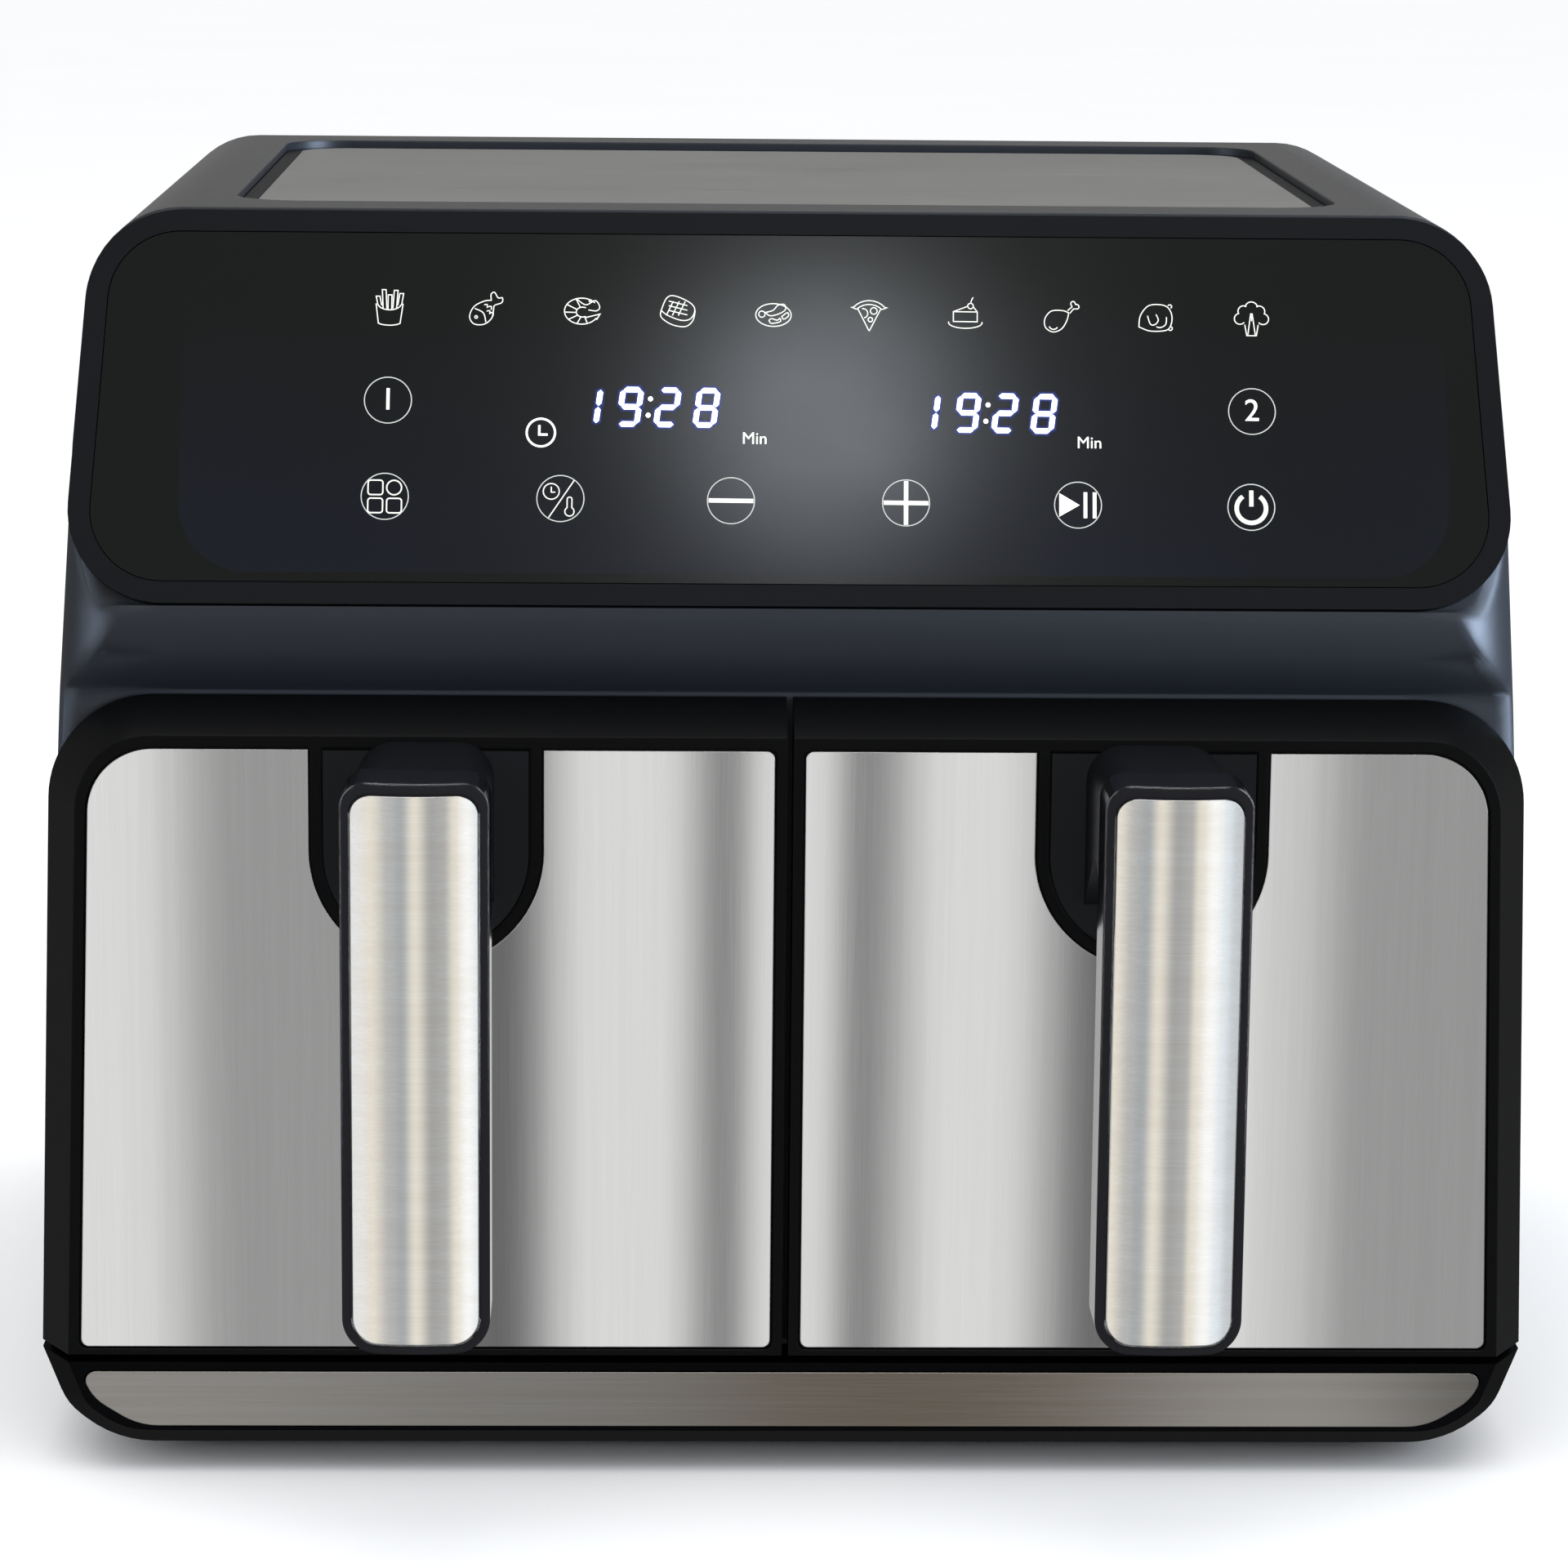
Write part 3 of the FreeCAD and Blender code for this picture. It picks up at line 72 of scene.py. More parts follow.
class Finish:
    """A material with one Principled shader, and short ways to build its node tree."""

    # The colour sockets of a Mix node, which share their names with its number sockets.
    MIX_FIRST = 6
    MIX_SECOND = 7
    MIX_RESULT = 2

    def __init__(self, name, **settings):
        self.material = bpy.data.materials.new(name)
        self.material.use_nodes = True
        self.tree = self.material.node_tree
        self.shader = self.tree.nodes["Principled BSDF"]
        self.settle(self.shader, settings)
        self.place = self.node("ShaderNodeTexCoord").outputs["Object"]

    @staticmethod
    def settle(node, settings):
        """Give a node's sockets their fixed values, by name with underscores for spaces."""
        for name, value in settings.items():
            socket = node.inputs[name.replace("_", " ")]
            takes_alpha = hasattr(socket.default_value, "__len__") and len(socket.default_value) == 4
            if takes_alpha and len(value) == 3:
                value = (*value, 1)
            socket.default_value = value

    def node(self, kind, links=None, **settings):
        """Add a node, with its fixed values and its incoming links."""
        made = self.tree.nodes.new(kind)
        self.settle(made, settings)
        for name, source in (links or {}).items():
            self.tree.links.new(source, made.inputs[name])
        return made

    def feed(self, socket, source):
        """Drive one of the shader's sockets."""
        self.tree.links.new(source, self.shader.inputs[socket])

    def noise(self, scale, detail=2.0, stretch=(1, 1, 1), roughness=0.5):
        """Noise over the object, stretched along its axes."""
        spot = self.node("ShaderNodeMapping", {"Vector": self.place}, Scale=stretch)
        made = self.node(
            "ShaderNodeTexNoise", {"Vector": spot.outputs["Vector"]},
            Scale=scale, Detail=detail, Roughness=roughness,
        )
        return made.outputs["Fac"]

    def spread(self, source, low, high, start=0.25, end=0.75):
        """Spread a noise over a range of numbers."""
        made = self.node("ShaderNodeMapRange", {"Value": source})
        self.settle(made, {"From_Min": start, "From_Max": end, "To_Min": low, "To_Max": high})
        return made.outputs["Result"]

    def blend(self, source, first, second):
        """Go from one colour to another by a source from 0 to 1."""
        made = self.tree.nodes.new("ShaderNodeMix")
        made.data_type = "RGBA"
        made.inputs[self.MIX_FIRST].default_value = (*first, 1)
        made.inputs[self.MIX_SECOND].default_value = (*second, 1)
        self.tree.links.new(source, made.inputs["Factor"])
        return made.outputs[self.MIX_RESULT]

    def relief(self, height, depth, strength=1.0, soft=0.0):
        """Feed a height into the surface normal; depth is its full height in metres.

        soft rounds the edges in shading only: a radius in millimetres, or a socket in metres.
        """
        links = {"Height": height}
        if isinstance(soft, bpy.types.NodeSocket):
            links["Normal"] = self.node("ShaderNodeBevel", {"Radius": soft}).outputs["Normal"]
        elif soft:
            links["Normal"] = self.node("ShaderNodeBevel", Radius=soft * MM).outputs["Normal"]
        made = self.node("ShaderNodeBump", links, Strength=strength, Distance=depth)
        self.feed("Normal", made.outputs["Normal"])


def tint(colour, factor):
    """A colour made darker or lighter."""
    return tuple(min(1.0, c * factor) for c in colour)


FLANK_FADE = 22 * MM


def moulded(name, colour, roughness, grain=0.5, depth=0.03, gloss=0.5, soft=0.0, flank=None):
    """Moulded plastic: a fine spark-eroded grain and a slightly uneven sheen.

    soft is the radius, in millimetres, over which inner and outer corners are shaded round;
    flank is a (half width, radius) beyond which that radius grows towards the two sides.
    """
    finish = Finish(name, Metallic=0.0, Specular_IOR_Level=gloss)
    fine = finish.noise(1.0 / (grain * MM), 3.0)
    broad = finish.noise(14.0, 3.0)
    finish.feed("Base Color", finish.blend(broad, tint(colour, 0.86), tint(colour, 1.16)))
    finish.feed("Roughness", finish.spread(fine, roughness - 0.05, roughness + 0.06))
    if flank:
        split = finish.node("ShaderNodeSeparateXYZ", {"Vector": finish.place})
        outward = finish.node("ShaderNodeMath", {0: split.outputs["X"]})
        outward.operation = "ABSOLUTE"
        half, radius = flank
        soft = finish.spread(outward.outputs[0], soft * MM, radius * MM, half - FLANK_FADE, half)
    finish.relief(fine, depth * MM, 0.5, soft)
    return finish.material


def polished(name, colour, roughness=0.07):
    """High-gloss plastic with hairline wiping marks."""
    finish = Finish(name, Metallic=0.0, Coat_Weight=0.2, Coat_Roughness=0.03)
    marks = finish.noise(220.0, 4.0, (1, 1, 0.12))
    broad = finish.noise(30.0, 2.0)
    finish.feed("Base Color", finish.blend(broad, tint(colour, 0.8), tint(colour, 1.25)))
    finish.feed("Roughness", finish.spread(marks, roughness * 0.7, roughness * 1.7))
    finish.relief(marks, 0.001 * MM, 0.1, 0.9)
    return finish.material


def brushed(name, colour, roughness, grain, smear, streak=0.03, warmth=(1, 1, 1)):
    """Brushed steel. grain is the way the brush ran, smear the way highlights stretch."""
    finish = Finish(name, Metallic=1.0, Anisotropic=0.92)
    stretch = tuple(0.012 if along else 1.0 for along in grain)
    lines = finish.noise(2600.0, 3.0, stretch, 0.6)
    bands = finish.noise(420.0, 2.0, stretch)
    stain = finish.noise(9.0, 3.0)
    tone = finish.node("ShaderNodeMath", {0: lines, 1: bands})
    tone.operation = "MULTIPLY"
    light = finish.spread(tone.outputs[0], 0.0, 1.0, 0.12, 0.40)
    warm = tuple(c * w for c, w in zip(colour, warmth))
    base = finish.blend(light, tint(warm, 1.0 - streak), tint(colour, 1.0 + streak))
    finish.feed("Base Color", base)
    brush_marks = finish.spread(lines, roughness * 0.85, roughness * 1.15)
    handling = finish.spread(stain, 0.95, 1.06)
    rough = finish.node("ShaderNodeMath", {0: brush_marks, 1: handling})
    rough.operation = "MULTIPLY"
    finish.feed("Roughness", rough.outputs[0])
    along = finish.node("ShaderNodeCombineXYZ", X=smear[0], Y=smear[1], Z=smear[2])
    finish.feed("Tangent", along.outputs["Vector"])
    finish.relief(lines, 0.002 * MM, 0.08, 0.35)
    return finish.material


def plated(name, colour, roughness, flecks=40.0, contrast=0.2):
    """Zinc or aluminised sheet: a faint crystal pattern and a dull sheen."""
    finish = Finish(name, Metallic=1.0)
    crystals = finish.node("ShaderNodeTexVoronoi", {"Vector": finish.place}, Scale=flecks)
    shade = finish.node("ShaderNodeSeparateColor", {"Color": crystals.outputs["Color"]}).outputs[0]
    base = finish.blend(shade, tint(colour, 1 - contrast), tint(colour, 1 + contrast))
    finish.feed("Base Color", base)
    finish.feed("Roughness", finish.spread(shade, roughness - 0.06, roughness + 0.08, 0, 1))
    finish.relief(finish.noise(700.0, 3.0), 0.02 * MM, 0.4)
    return finish.material


def coated(name, colour, fleck, roughness):
    """Non-stick coating: a dark ground with fine pale specks and a low orange peel."""
    finish = Finish(name, Metallic=0.0, Specular_IOR_Level=0.55)
    cells = finish.node("ShaderNodeTexVoronoi", {"Vector": finish.place}, Scale=900.0)
    specks = finish.spread(cells.outputs["Distance"], 1.0, 0.0, 0.08, 0.16)
    finish.feed("Base Color", finish.blend(specks, colour, fleck))
    peel = finish.noise(520.0, 2.0)
    finish.feed("Roughness", finish.spread(peel, roughness - 0.07, roughness + 0.08))
    finish.relief(peel, 0.04 * MM, 0.5)
    return finish.material


def heated(name, colour, blued):
    """Heat-darkened tube: patches of straw and blue oxide."""
    finish = Finish(name, Metallic=0.85)
    patches = finish.noise(60.0, 4.0)
    finish.feed("Base Color", finish.blend(finish.spread(patches, 0, 1), colour, blued))
    finish.feed("Roughness", finish.spread(finish.noise(900.0, 2.0), 0.35, 0.55))
    finish.relief(patches, 0.05 * MM, 0.3)
    return finish.material


def board(name, colour, copper):
    """A lacquered circuit board with tracks showing through."""
    finish = Finish(name, Specular_IOR_Level=0.6)
    tracks = finish.node("ShaderNodeTexBrick", {"Vector": finish.place}, Scale=160.0, Mortar_Size=0.06)
    finish.feed("Base Color", finish.blend(tracks.outputs["Fac"], colour, copper))
    finish.feed("Roughness", finish.spread(finish.noise(300.0), 0.28, 0.42))
    return finish.material


def panel_glass(name, ink, film, centre, half, corner):
    """Back-printed black glass: a film area with round corners shows faintly bluish through it."""
    finish = Finish(name, Metallic=0.0, Specular_IOR_Level=0.5, IOR=1.5)
    split = finish.node("ShaderNodeSeparateXYZ", {"Vector": finish.place})

    def sums(operation, first, second=None):
        made = finish.tree.nodes.new("ShaderNodeMath")
        made.operation = operation
        for index, value in enumerate((first, second)):
            if value is None:
                continue
            if isinstance(value, (int, float)):
                made.inputs[index].default_value = value
            else:
                finish.tree.links.new(value, made.inputs[index])
        return made.outputs[0]

    across = sums("ABSOLUTE", sums("SUBTRACT", split.outputs["X"], centre[0]))
    up = sums("ABSOLUTE", sums("SUBTRACT", split.outputs["Z"], centre[1]))
    over_x = sums("MAXIMUM", sums("SUBTRACT", across, half[0] - corner), 0.0)
    over_z = sums("MAXIMUM", sums("SUBTRACT", up, half[1] - corner), 0.0)
    reach = sums("SQRT", sums("ADD", sums("POWER", over_x, 2.0), sums("POWER", over_z, 2.0)))
    inside = finish.spread(reach, 1.0, 0.0, corner - 0.3 * MM, corner + 0.3 * MM)
    low = finish.spread(split.outputs["Z"], 1.0, 0.0, centre[1] - half[1], centre[1] + half[1] * 0.7)
    patchy = finish.spread(finish.noise(11.0, 3.0), 0.35, 1.0)
    amount = sums("MULTIPLY", sums("MULTIPLY", inside, low), patchy)
    finish.feed("Base Color", finish.blend(amount, ink, film))
    smudge = finish.noise(26.0, 5.0, (1, 1, 1.6), 0.62)
    finish.feed("Roughness", finish.spread(smudge, 0.125, 0.14))
    return finish.material


def lamp_ink(name, colour, strength):
    """A legend lit from behind, a little uneven across its width."""
    finish = Finish(name, Emission_Strength=strength, Roughness=0.5)
    uneven = finish.noise(260.0, 2.0)
    tone = finish.blend(uneven, tint(colour, 0.72), colour)
    finish.feed("Emission Color", tone)
    finish.feed("Base Color", tone)
    return finish.material


FINISHES = {
    "matte_black": moulded("matte_black", (0.0085, 0.0095, 0.0115), 0.42, 0.35, 0.03, 0.5, 0.6),
    "satin_black": moulded("satin_black", (0.0060, 0.0070, 0.0090), 0.36, 0.45, 0.02, 0.38),
    "bezel_black": moulded("bezel_black", (0.0050, 0.0060, 0.0075), 0.36, 0.28, 0.015, 0.2),
    "gloss_black": polished("gloss_black", (0.004, 0.004, 0.005)),
    "drawer_steel": brushed("drawer_steel", (0.80, 0.80, 0.79), 0.07, (0, 0, 1), (0, 0, 1)),
    "handle_steel": brushed(
        "handle_steel", (0.90, 0.90, 0.89), 0.14, (1, 0, 0), (0, 0, 1), 0.04, (1.0, 0.985, 0.96)
    ),
    "trim_steel": brushed(
        "trim_steel", (0.50, 0.485, 0.465), 0.20, (1, 0, 0), (0, 0, 1), 0.05, (1.0, 0.97, 0.92)
    ),
    "lid_steel": brushed("lid_steel", (0.50, 0.495, 0.485), 0.34, (1, 0, 0), (0, 1, 0), 0.07),
    "nonstick": coated("nonstick", (0.030, 0.030, 0.032), (0.20, 0.20, 0.21), 0.42),
    "liner_metal": plated("liner_metal", (0.58, 0.59, 0.60), 0.38, 90.0, 0.10),
    "element_steel": heated("element_steel", (0.16, 0.145, 0.125), (0.07, 0.075, 0.10)),
    "motor_steel": plated("motor_steel", (0.50, 0.50, 0.51), 0.34, 160.0),
    "fan_aluminium": plated("fan_aluminium", (0.70, 0.71, 0.72), 0.30, 260.0, 0.08),
    "screw_steel": plated("screw_steel", (0.55, 0.55, 0.56), 0.26, 400.0, 0.08),
    "rubber": moulded("rubber", (0.022, 0.022, 0.023), 0.72, 0.6, 0.06, 0.35),
    "silicone": moulded("silicone", (0.060, 0.060, 0.064), 0.55, 0.8, 0.03, 0.4),
    "circuit_board": board("circuit_board", (0.012, 0.085, 0.040), (0.10, 0.16, 0.05)),
    "display_window": moulded("display_window", (0.012, 0.012, 0.016), 0.25, 0.9, 0.01),
}

glass_low, glass_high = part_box("control_glass")
FINISHES["panel_glass"] = panel_glass(
    "panel_glass",
    ink=(0.0050, 0.0058, 0.0050),
    film=(0.0065, 0.0080, 0.0150),
    centre=(0.006, (glass_low.z + glass_high.z) / 2),
    half=(0.159, 0.0395),
    corner=0.017,
)


# ------------------------------------------------------ finishes of CAD nodes

# The shell's corners roll softly into its sides, beyond this distance from its middle.
ROLL_STARTS = 0.176
ROLL_RADIUS = 6.0
SHELL_BLACK = moulded(
    "shell_black", (0.0085, 0.0095, 0.0115), 0.42, 0.35, 0.03, 0.5, 0.8, (ROLL_STARTS, ROLL_RADIUS)
)
# The base and the drawer fronts take darker copies of the shell's black plastic: painted shade, standing in
# for the shade on the base's downward face and on the drawers' upward band.
SHADED_BASE_BLACK = moulded("base_black_painted_shade", (0.0020, 0.0021, 0.0025), 0.50, 0.35, 0.02, 0.05, 0.5)
SHADED_DRAWER_BLACK = moulded("drawer_black_painted_shade", (0.0022, 0.0023, 0.0026), 0.36, 0.35, 0.02, 0.22, 0.6)
for node, piece in nodes.items():
    finish = FINISHES[SLOT_OF[node]]
    if node == "outer_shell":
        finish = SHELL_BLACK
    if node == "base_tray":
        finish = SHADED_BASE_BLACK
    if node.endswith("_drawer_front"):
        finish = SHADED_DRAWER_BLACK
    piece.data.materials.clear()
    piece.data.materials.append(finish)
for side in ("left", "right"):
    for part in ("mount", "frame", "insert"):
        nodes[f"{side}_handle_{part}"].visible_glossy = False


# ------------------------------------------------------------- control panel

# The glass leans back; graphics are drawn flat in millimetres, across and up its slope,
# and then laid on it. Up is measured from the bezel's lower edge.
PANEL_ANGLE = math.radians(69.85)
BEZEL_FOOT_BACK = 4 * MM
BEZEL_FOOT_HIGH = 224.7 * MM
PANEL_ORIGIN = Vector((0, DRAWER_FACE + BEZEL_FOOT_BACK, BEZEL_FOOT_HIGH))
ON_PANEL = Matrix.Translation(PANEL_ORIGIN) @ Matrix.Rotation(PANEL_ANGLE, 4, "X")
GLASS_FACE = -0.1
# The print sits slightly askew: its rows drop to the right, starting from the left column.
TILT = -math.tan(math.radians(0.4))
LEFT_COLUMN = -101


def lay_on_panel(piece, x, y, lift=0.02):
    """Put a piece drawn about its own origin at a place on the glass, on the housing."""
    drop = TILT * (x - LEFT_COLUMN)
    spot = Matrix.Translation(Vector((x, y + drop, GLASS_FACE + lift)) * MM)
    turn = Matrix.Rotation(math.atan(TILT), 4, "Z")
    piece.matrix_world = ON_PANEL @ spot @ turn
    bpy.context.view_layer.update()
    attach(piece, "housing")
    return piece


def curve_points(cx, cy, radius, start=0.0, end=360.0, flat=1.0):
    """Points round an arc, in degrees; flat squashes it upwards."""
    count = max(6, int(abs(end - start) / 12) + 1)
    steps = [math.radians(start + (end - start) * i / (count - 1)) for i in range(count)]
    return [(cx + radius * math.cos(a), cy + radius * flat * math.sin(a)) for a in steps]


def box_points(x0, y0, x1, y1, radius):
    """Points round a box with rounded corners."""
    points = []
    for cx, cy, start in (
        (x1 - radius, y1 - radius, 0), (x0 + radius, y1 - radius, 90),
        (x0 + radius, y0 + radius, 180), (x1 - radius, y0 + radius, 270),
    ):
        points += curve_points(cx, cy, radius, start, start + 90)
    return points + points[:1]


def glide(p, q, r, s, t):
    """One coordinate on the way from q to r, after p and before s, with t from 0 to 1."""
    bend = 2 * p - 5 * q + 4 * r - s
    twist = 3 * q - p - 3 * r + s
    return 0.5 * (2 * q + (r - p) * t + bend * t * t + twist * t ** 3)


def bow(points, steps=6):
    """A smooth line through a few points."""
    line = []
    padded = [points[0]] + list(points) + [points[-1]]
    for a, b, c, d in zip(padded, padded[1:], padded[2:], padded[3:]):
        for i in range(steps):
            line.append(tuple(glide(p, q, r, s, i / steps) for p, q, r, s in zip(a, b, c, d)))
    return line + [points[-1]]


PRINT_FLATNESS = 0.15


def strokes(name, lines, width, material, x, y, scale=1.0):
    """Flat printed lines on the glass, as a curve piece with a thin flat section."""
    curve = bpy.data.curves.new(name, "CURVE")
    curve.dimensions = "2D"
    curve.resolution_u = 1
    for line in lines:
        spline = curve.splines.new("POLY")
        closed = line[0] == line[-1]
        points = line[:-1] if closed else line
        spline.points.add(len(points) - 1)
        for point, (px, py) in zip(spline.points, points):
            point.co = (px * scale * MM, py * scale * MM, 0, 1)
        spline.use_cyclic_u = closed
    curve.bevel_depth = width / 2 * MM
    curve.bevel_resolution = 1
    piece = bpy.data.objects.new(name, curve)
    scene.collection.objects.link(piece)
    mesh = bpy.data.meshes.new_from_object(piece)
    bpy.data.objects.remove(piece)
    for vertex in mesh.vertices:
        vertex.co.z *= PRINT_FLATNESS
    made = bpy.data.objects.new(name, mesh)
    made.data.materials.clear()
    made.data.materials.append(material)
    scene.collection.objects.link(made)
    return lay_on_panel(made, x, y)


def plates(name, outlines, material, x, y, thick=0.02, lift=0.02):
    """Flat filled shapes on the glass, each a convex outline."""
    build = bmesh.new()
    for outline in outlines:
        base = [build.verts.new((px * MM, py * MM, 0)) for px, py in outline]
        face = build.faces.new(base)
        grown = bmesh.ops.extrude_face_region(build, geom=[face])
        for part in grown["geom"]:
            if isinstance(part, bmesh.types.BMVert):
                part.co.z += thick * MM
    bmesh.ops.recalc_face_normals(build, faces=build.faces)
    mesh = bpy.data.meshes.new(name)
    build.to_mesh(mesh)
    build.free()
    mesh.materials.append(material)
    piece = bpy.data.objects.new(name, mesh)
    scene.collection.objects.link(piece)
    return lay_on_panel(piece, x, y, lift)


CAPITAL_SHARE = 0.7


def lettering(name, text, height, material, x, y):
    """A short generic legend, centred, in the built-in face; height is that of a capital."""
    words = bpy.data.curves.new(name, "FONT")
    words.body = text
    words.size = height / CAPITAL_SHARE * MM
    words.align_x = "CENTER"
    words.align_y = "CENTER"
    words.extrude = 0.01 * MM
    words.materials.append(material)
    piece = bpy.data.objects.new(name, words)
    scene.collection.objects.link(piece)
    return lay_on_panel(piece, x, y)


ICON_INK = lamp_ink("icon_ink", (0.66, 0.68, 0.62), 0.85)
RING_INK = lamp_ink("ring_ink", (0.44, 0.46, 0.44), 0.75)
LEGEND_INK = lamp_ink("legend_ink", (0.90, 0.92, 0.86), 0.95)
DIGIT_INK = lamp_ink("digit_ink", (0.93, 0.96, 1.0), 2.4)


def fries():
    """A carton of chips."""
    carton = [(-0.72, 0.22), (-0.58, -0.85)] + curve_points(0.0, -0.82, 0.58, 190, 350, 0.25)
    carton += [(0.58, -0.85), (0.72, 0.22)]
    mouth = curve_points(0.0, 0.22, 0.62, 190, 350, 0.55)
    sticks = []
    half = 0.10
    for x, lean, top in (
        (-0.52, -0.10, 0.62), (-0.24, -0.06, 0.98), (0.02, 0.0, 0.70), (0.28, 0.06, 0.95), (0.54, 0.10, 0.78),
    ):
        low = 0.22 - 0.32 * (1 - (x / 0.62) ** 2)
        sticks.append([(x - half, low), (x - half + lean, top), (x + half + lean, top), (x + half, low)])
    return [carton, mouth] + sticks


def fish():
    """A whole fish, tail up."""
    body = bow([(0.30, 0.48), (-0.10, 0.42), (-0.62, 0.12), (-0.85, -0.42), (-0.62, -0.82), (-0.10, -0.85),
                (0.32, -0.52), (0.42, -0.05), (0.48, 0.20), (0.86, 0.36), (0.88, 0.62), (0.66, 0.62),
                (0.46, 0.92), (0.28, 0.80), (0.30, 0.48)])
    gill = bow([(-0.58, 0.02), (-0.12, -0.22), (0.02, -0.72)])
    scales = [bow([(x, y), (x + 0.16, y + 0.02), (x + 0.16, y - 0.16)]) for x, y in
              ((-0.08, 0.22), (0.14, 0.12), (0.06, -0.12), (0.24, -0.22))]
    return [body, gill, curve_points(-0.50, -0.45, 0.07)] + scales


def shrimp():
    """A curled shrimp."""
    outer = curve_points(0.0, -0.05, 0.92, 40, 330, 0.78)
    inner = curve_points(0.05, -0.10, 0.34, 60, 300, 0.8)
    ribs = []
    for angle in (110, 150, 185, 220, 255, 290):
        a = math.radians(angle)
        near = (0.05 + 0.34 * math.cos(a), -0.10 + 0.27 * math.sin(a))
        far = (0.92 * math.cos(a), -0.05 + 0.72 * math.sin(a))
        ribs.append([near, far])
    head = bow([(-0.28, 0.62), (0.22, 0.30), (0.72, 0.54), (0.96, 0.20), (0.80, -0.02), (0.36, 0.02)])
    tail = [(0.22, -0.40), (0.98, -0.20), (0.80, -0.52)]
    return [outer, inner, head, tail, curve_points(0.46, 0.52, 0.06)] + ribs


def grill_steak():
    """A steak with grill marks."""
    top = bow([(-0.88, 0.05), (-0.60, 0.72), (-0.18, 0.86), (0.62, 0.52), (0.92, 0.12), (0.70, -0.38),
               (0.20, -0.48), (-0.52, -0.22), (-0.88, 0.05)])
    side = bow([(-0.90, 0.02), (-0.86, -0.34), (-0.30, -0.72), (0.42, -0.82), (0.82, -0.48), (0.94, 0.06)])
    bars = []
    for shift in (-0.30, 0.02, 0.34):
        bars.append([(-0.30 + shift, -0.22), (0.06 + shift, 0.56)])
        bars.append([(-0.48, 0.30 + shift * 0.8), (0.52, 0.06 + shift * 0.8)])
    return [top, side] + bars


def bacon_plate():
    """A plate of mixed breakfast."""
    rim = curve_points(0.0, -0.12, 0.95, 0, 360, 0.66)
    rasher = bow([(-0.42, 0.02), (-0.02, 0.14), (0.24, 0.42), (0.58, 0.46), (0.62, 0.16), (0.22, -0.08),
                  (-0.20, -0.16), (-0.42, 0.02)])
    sausage = bow([(-0.24, -0.42), (-0.10, -0.32), (0.20, -0.40), (0.34, -0.30), (0.36, -0.48),
                   (-0.10, -0.58), (-0.24, -0.42)])
    egg = curve_points(-0.62, -0.08, 0.17)
    leaf = bow([(0.44, -0.20), (0.74, 0.02), (0.80, -0.16), (0.56, -0.34), (0.44, -0.20)])
    return [rim, rasher, sausage, egg, leaf]


def pizza():
    """A slice of pizza."""
    crust = curve_points(0.0, -0.30, 1.10, 40, 140, 0.95)
    inner = curve_points(0.0, -0.36, 0.94, 44, 136, 0.95)
    crust_ends = [crust[-1], (-0.92, 0.36), inner[-1]]
    other_end = [crust[0], (0.92, 0.36), inner[0]]
    slice_sides = [(-0.62, 0.30), (-0.02, -0.90), (0.02, -0.90), (0.62, 0.30)]
    return [crust, inner, crust_ends, other_end, slice_sides, curve_points(0.24, 0.18, 0.18),
            curve_points(0.06, -0.30, 0.12), curve_points(-0.34, 0.04, 0.26, -75, 100)]


def cake():
    """A slice of cake with a cherry."""
    top = [(-0.62, 0.20), (0.18, 0.52)]
    top_right = [(0.42, 0.52), (0.66, 0.20)]
    body = [(-0.62, 0.20), (0.66, 0.20), (0.66, -0.34), (-0.62, -0.34), (-0.62, 0.20)]
    plate = curve_points(0.02, -0.40, 0.90, 170, 370, 0.34)
    stalk = bow([(0.30, 0.66), (0.36, 0.86), (0.44, 1.0)])
    return [top, top_right, body, plate, stalk, curve_points(0.30, 0.52, 0.15)]


def drumstick():
    """A drumstick."""
    meat = bow([(0.44, 0.22), (0.10, 0.34), (-0.50, 0.30), (-0.84, -0.12), (-0.80, -0.60), (-0.40, -0.84),
                (0.06, -0.66), (0.34, -0.20), (0.44, 0.22)])
    bone = [(0.38, 0.34), (0.62, 0.56)]
    bone += curve_points(0.68, 0.72, 0.13, 200, 60)
    bone += curve_points(0.86, 0.56, 0.13, 110, -60)
    bone += [(0.70, 0.44), (0.50, 0.20)]
    return [meat, bone, curve_points(-0.38, -0.46, 0.24, 200, 330)]


def roast():
    """A roast bird."""
    body = bow([(-0.92, -0.50), (-0.84, 0.12), (-0.42, 0.66), (0.20, 0.74), (0.62, 0.60), (0.84, 0.20),
                (0.82, -0.30), (0.56, -0.66), (-0.30, -0.72), (-0.92, -0.50)])
    wing = bow([(-0.46, 0.12), (-0.30, -0.34), (-0.06, -0.36), (0.12, -0.12), (0.00, 0.20)])
    leg = bow([(0.56, 0.06), (0.52, -0.34), (0.24, -0.52), (0.02, -0.48)])
    wing_tip = curve_points(0.74, 0.64, 0.10, -60, 160)
    leg_end = curve_points(0.76, -0.56, 0.11, -150, 80)
    return [body, wing, leg, wing_tip, leg_end]


def broccoli():
    """A floret of broccoli."""
    crown = []
    for cx, cy, radius, start, end in (
        (-0.62, 0.02, 0.30, 100, 320), (-0.42, 0.44, 0.30, 60, 210), (0.0, 0.62, 0.34, 10, 170),
        (0.42, 0.44, 0.30, -30, 120), (0.62, 0.02, 0.30, -140, 80),
    ):
        crown.append(curve_points(cx, cy, radius, start, end))
    stem = [(-0.36, -0.30), (-0.26, -0.90), (0.26, -0.90), (0.36, -0.30)]
    forks = [[(-0.20, -0.86), (-0.04, 0.30), (0.04, 0.30), (0.20, -0.86)], [(0.0, 0.28), (0.0, -0.10)]]
    return crown + [stem] + forks


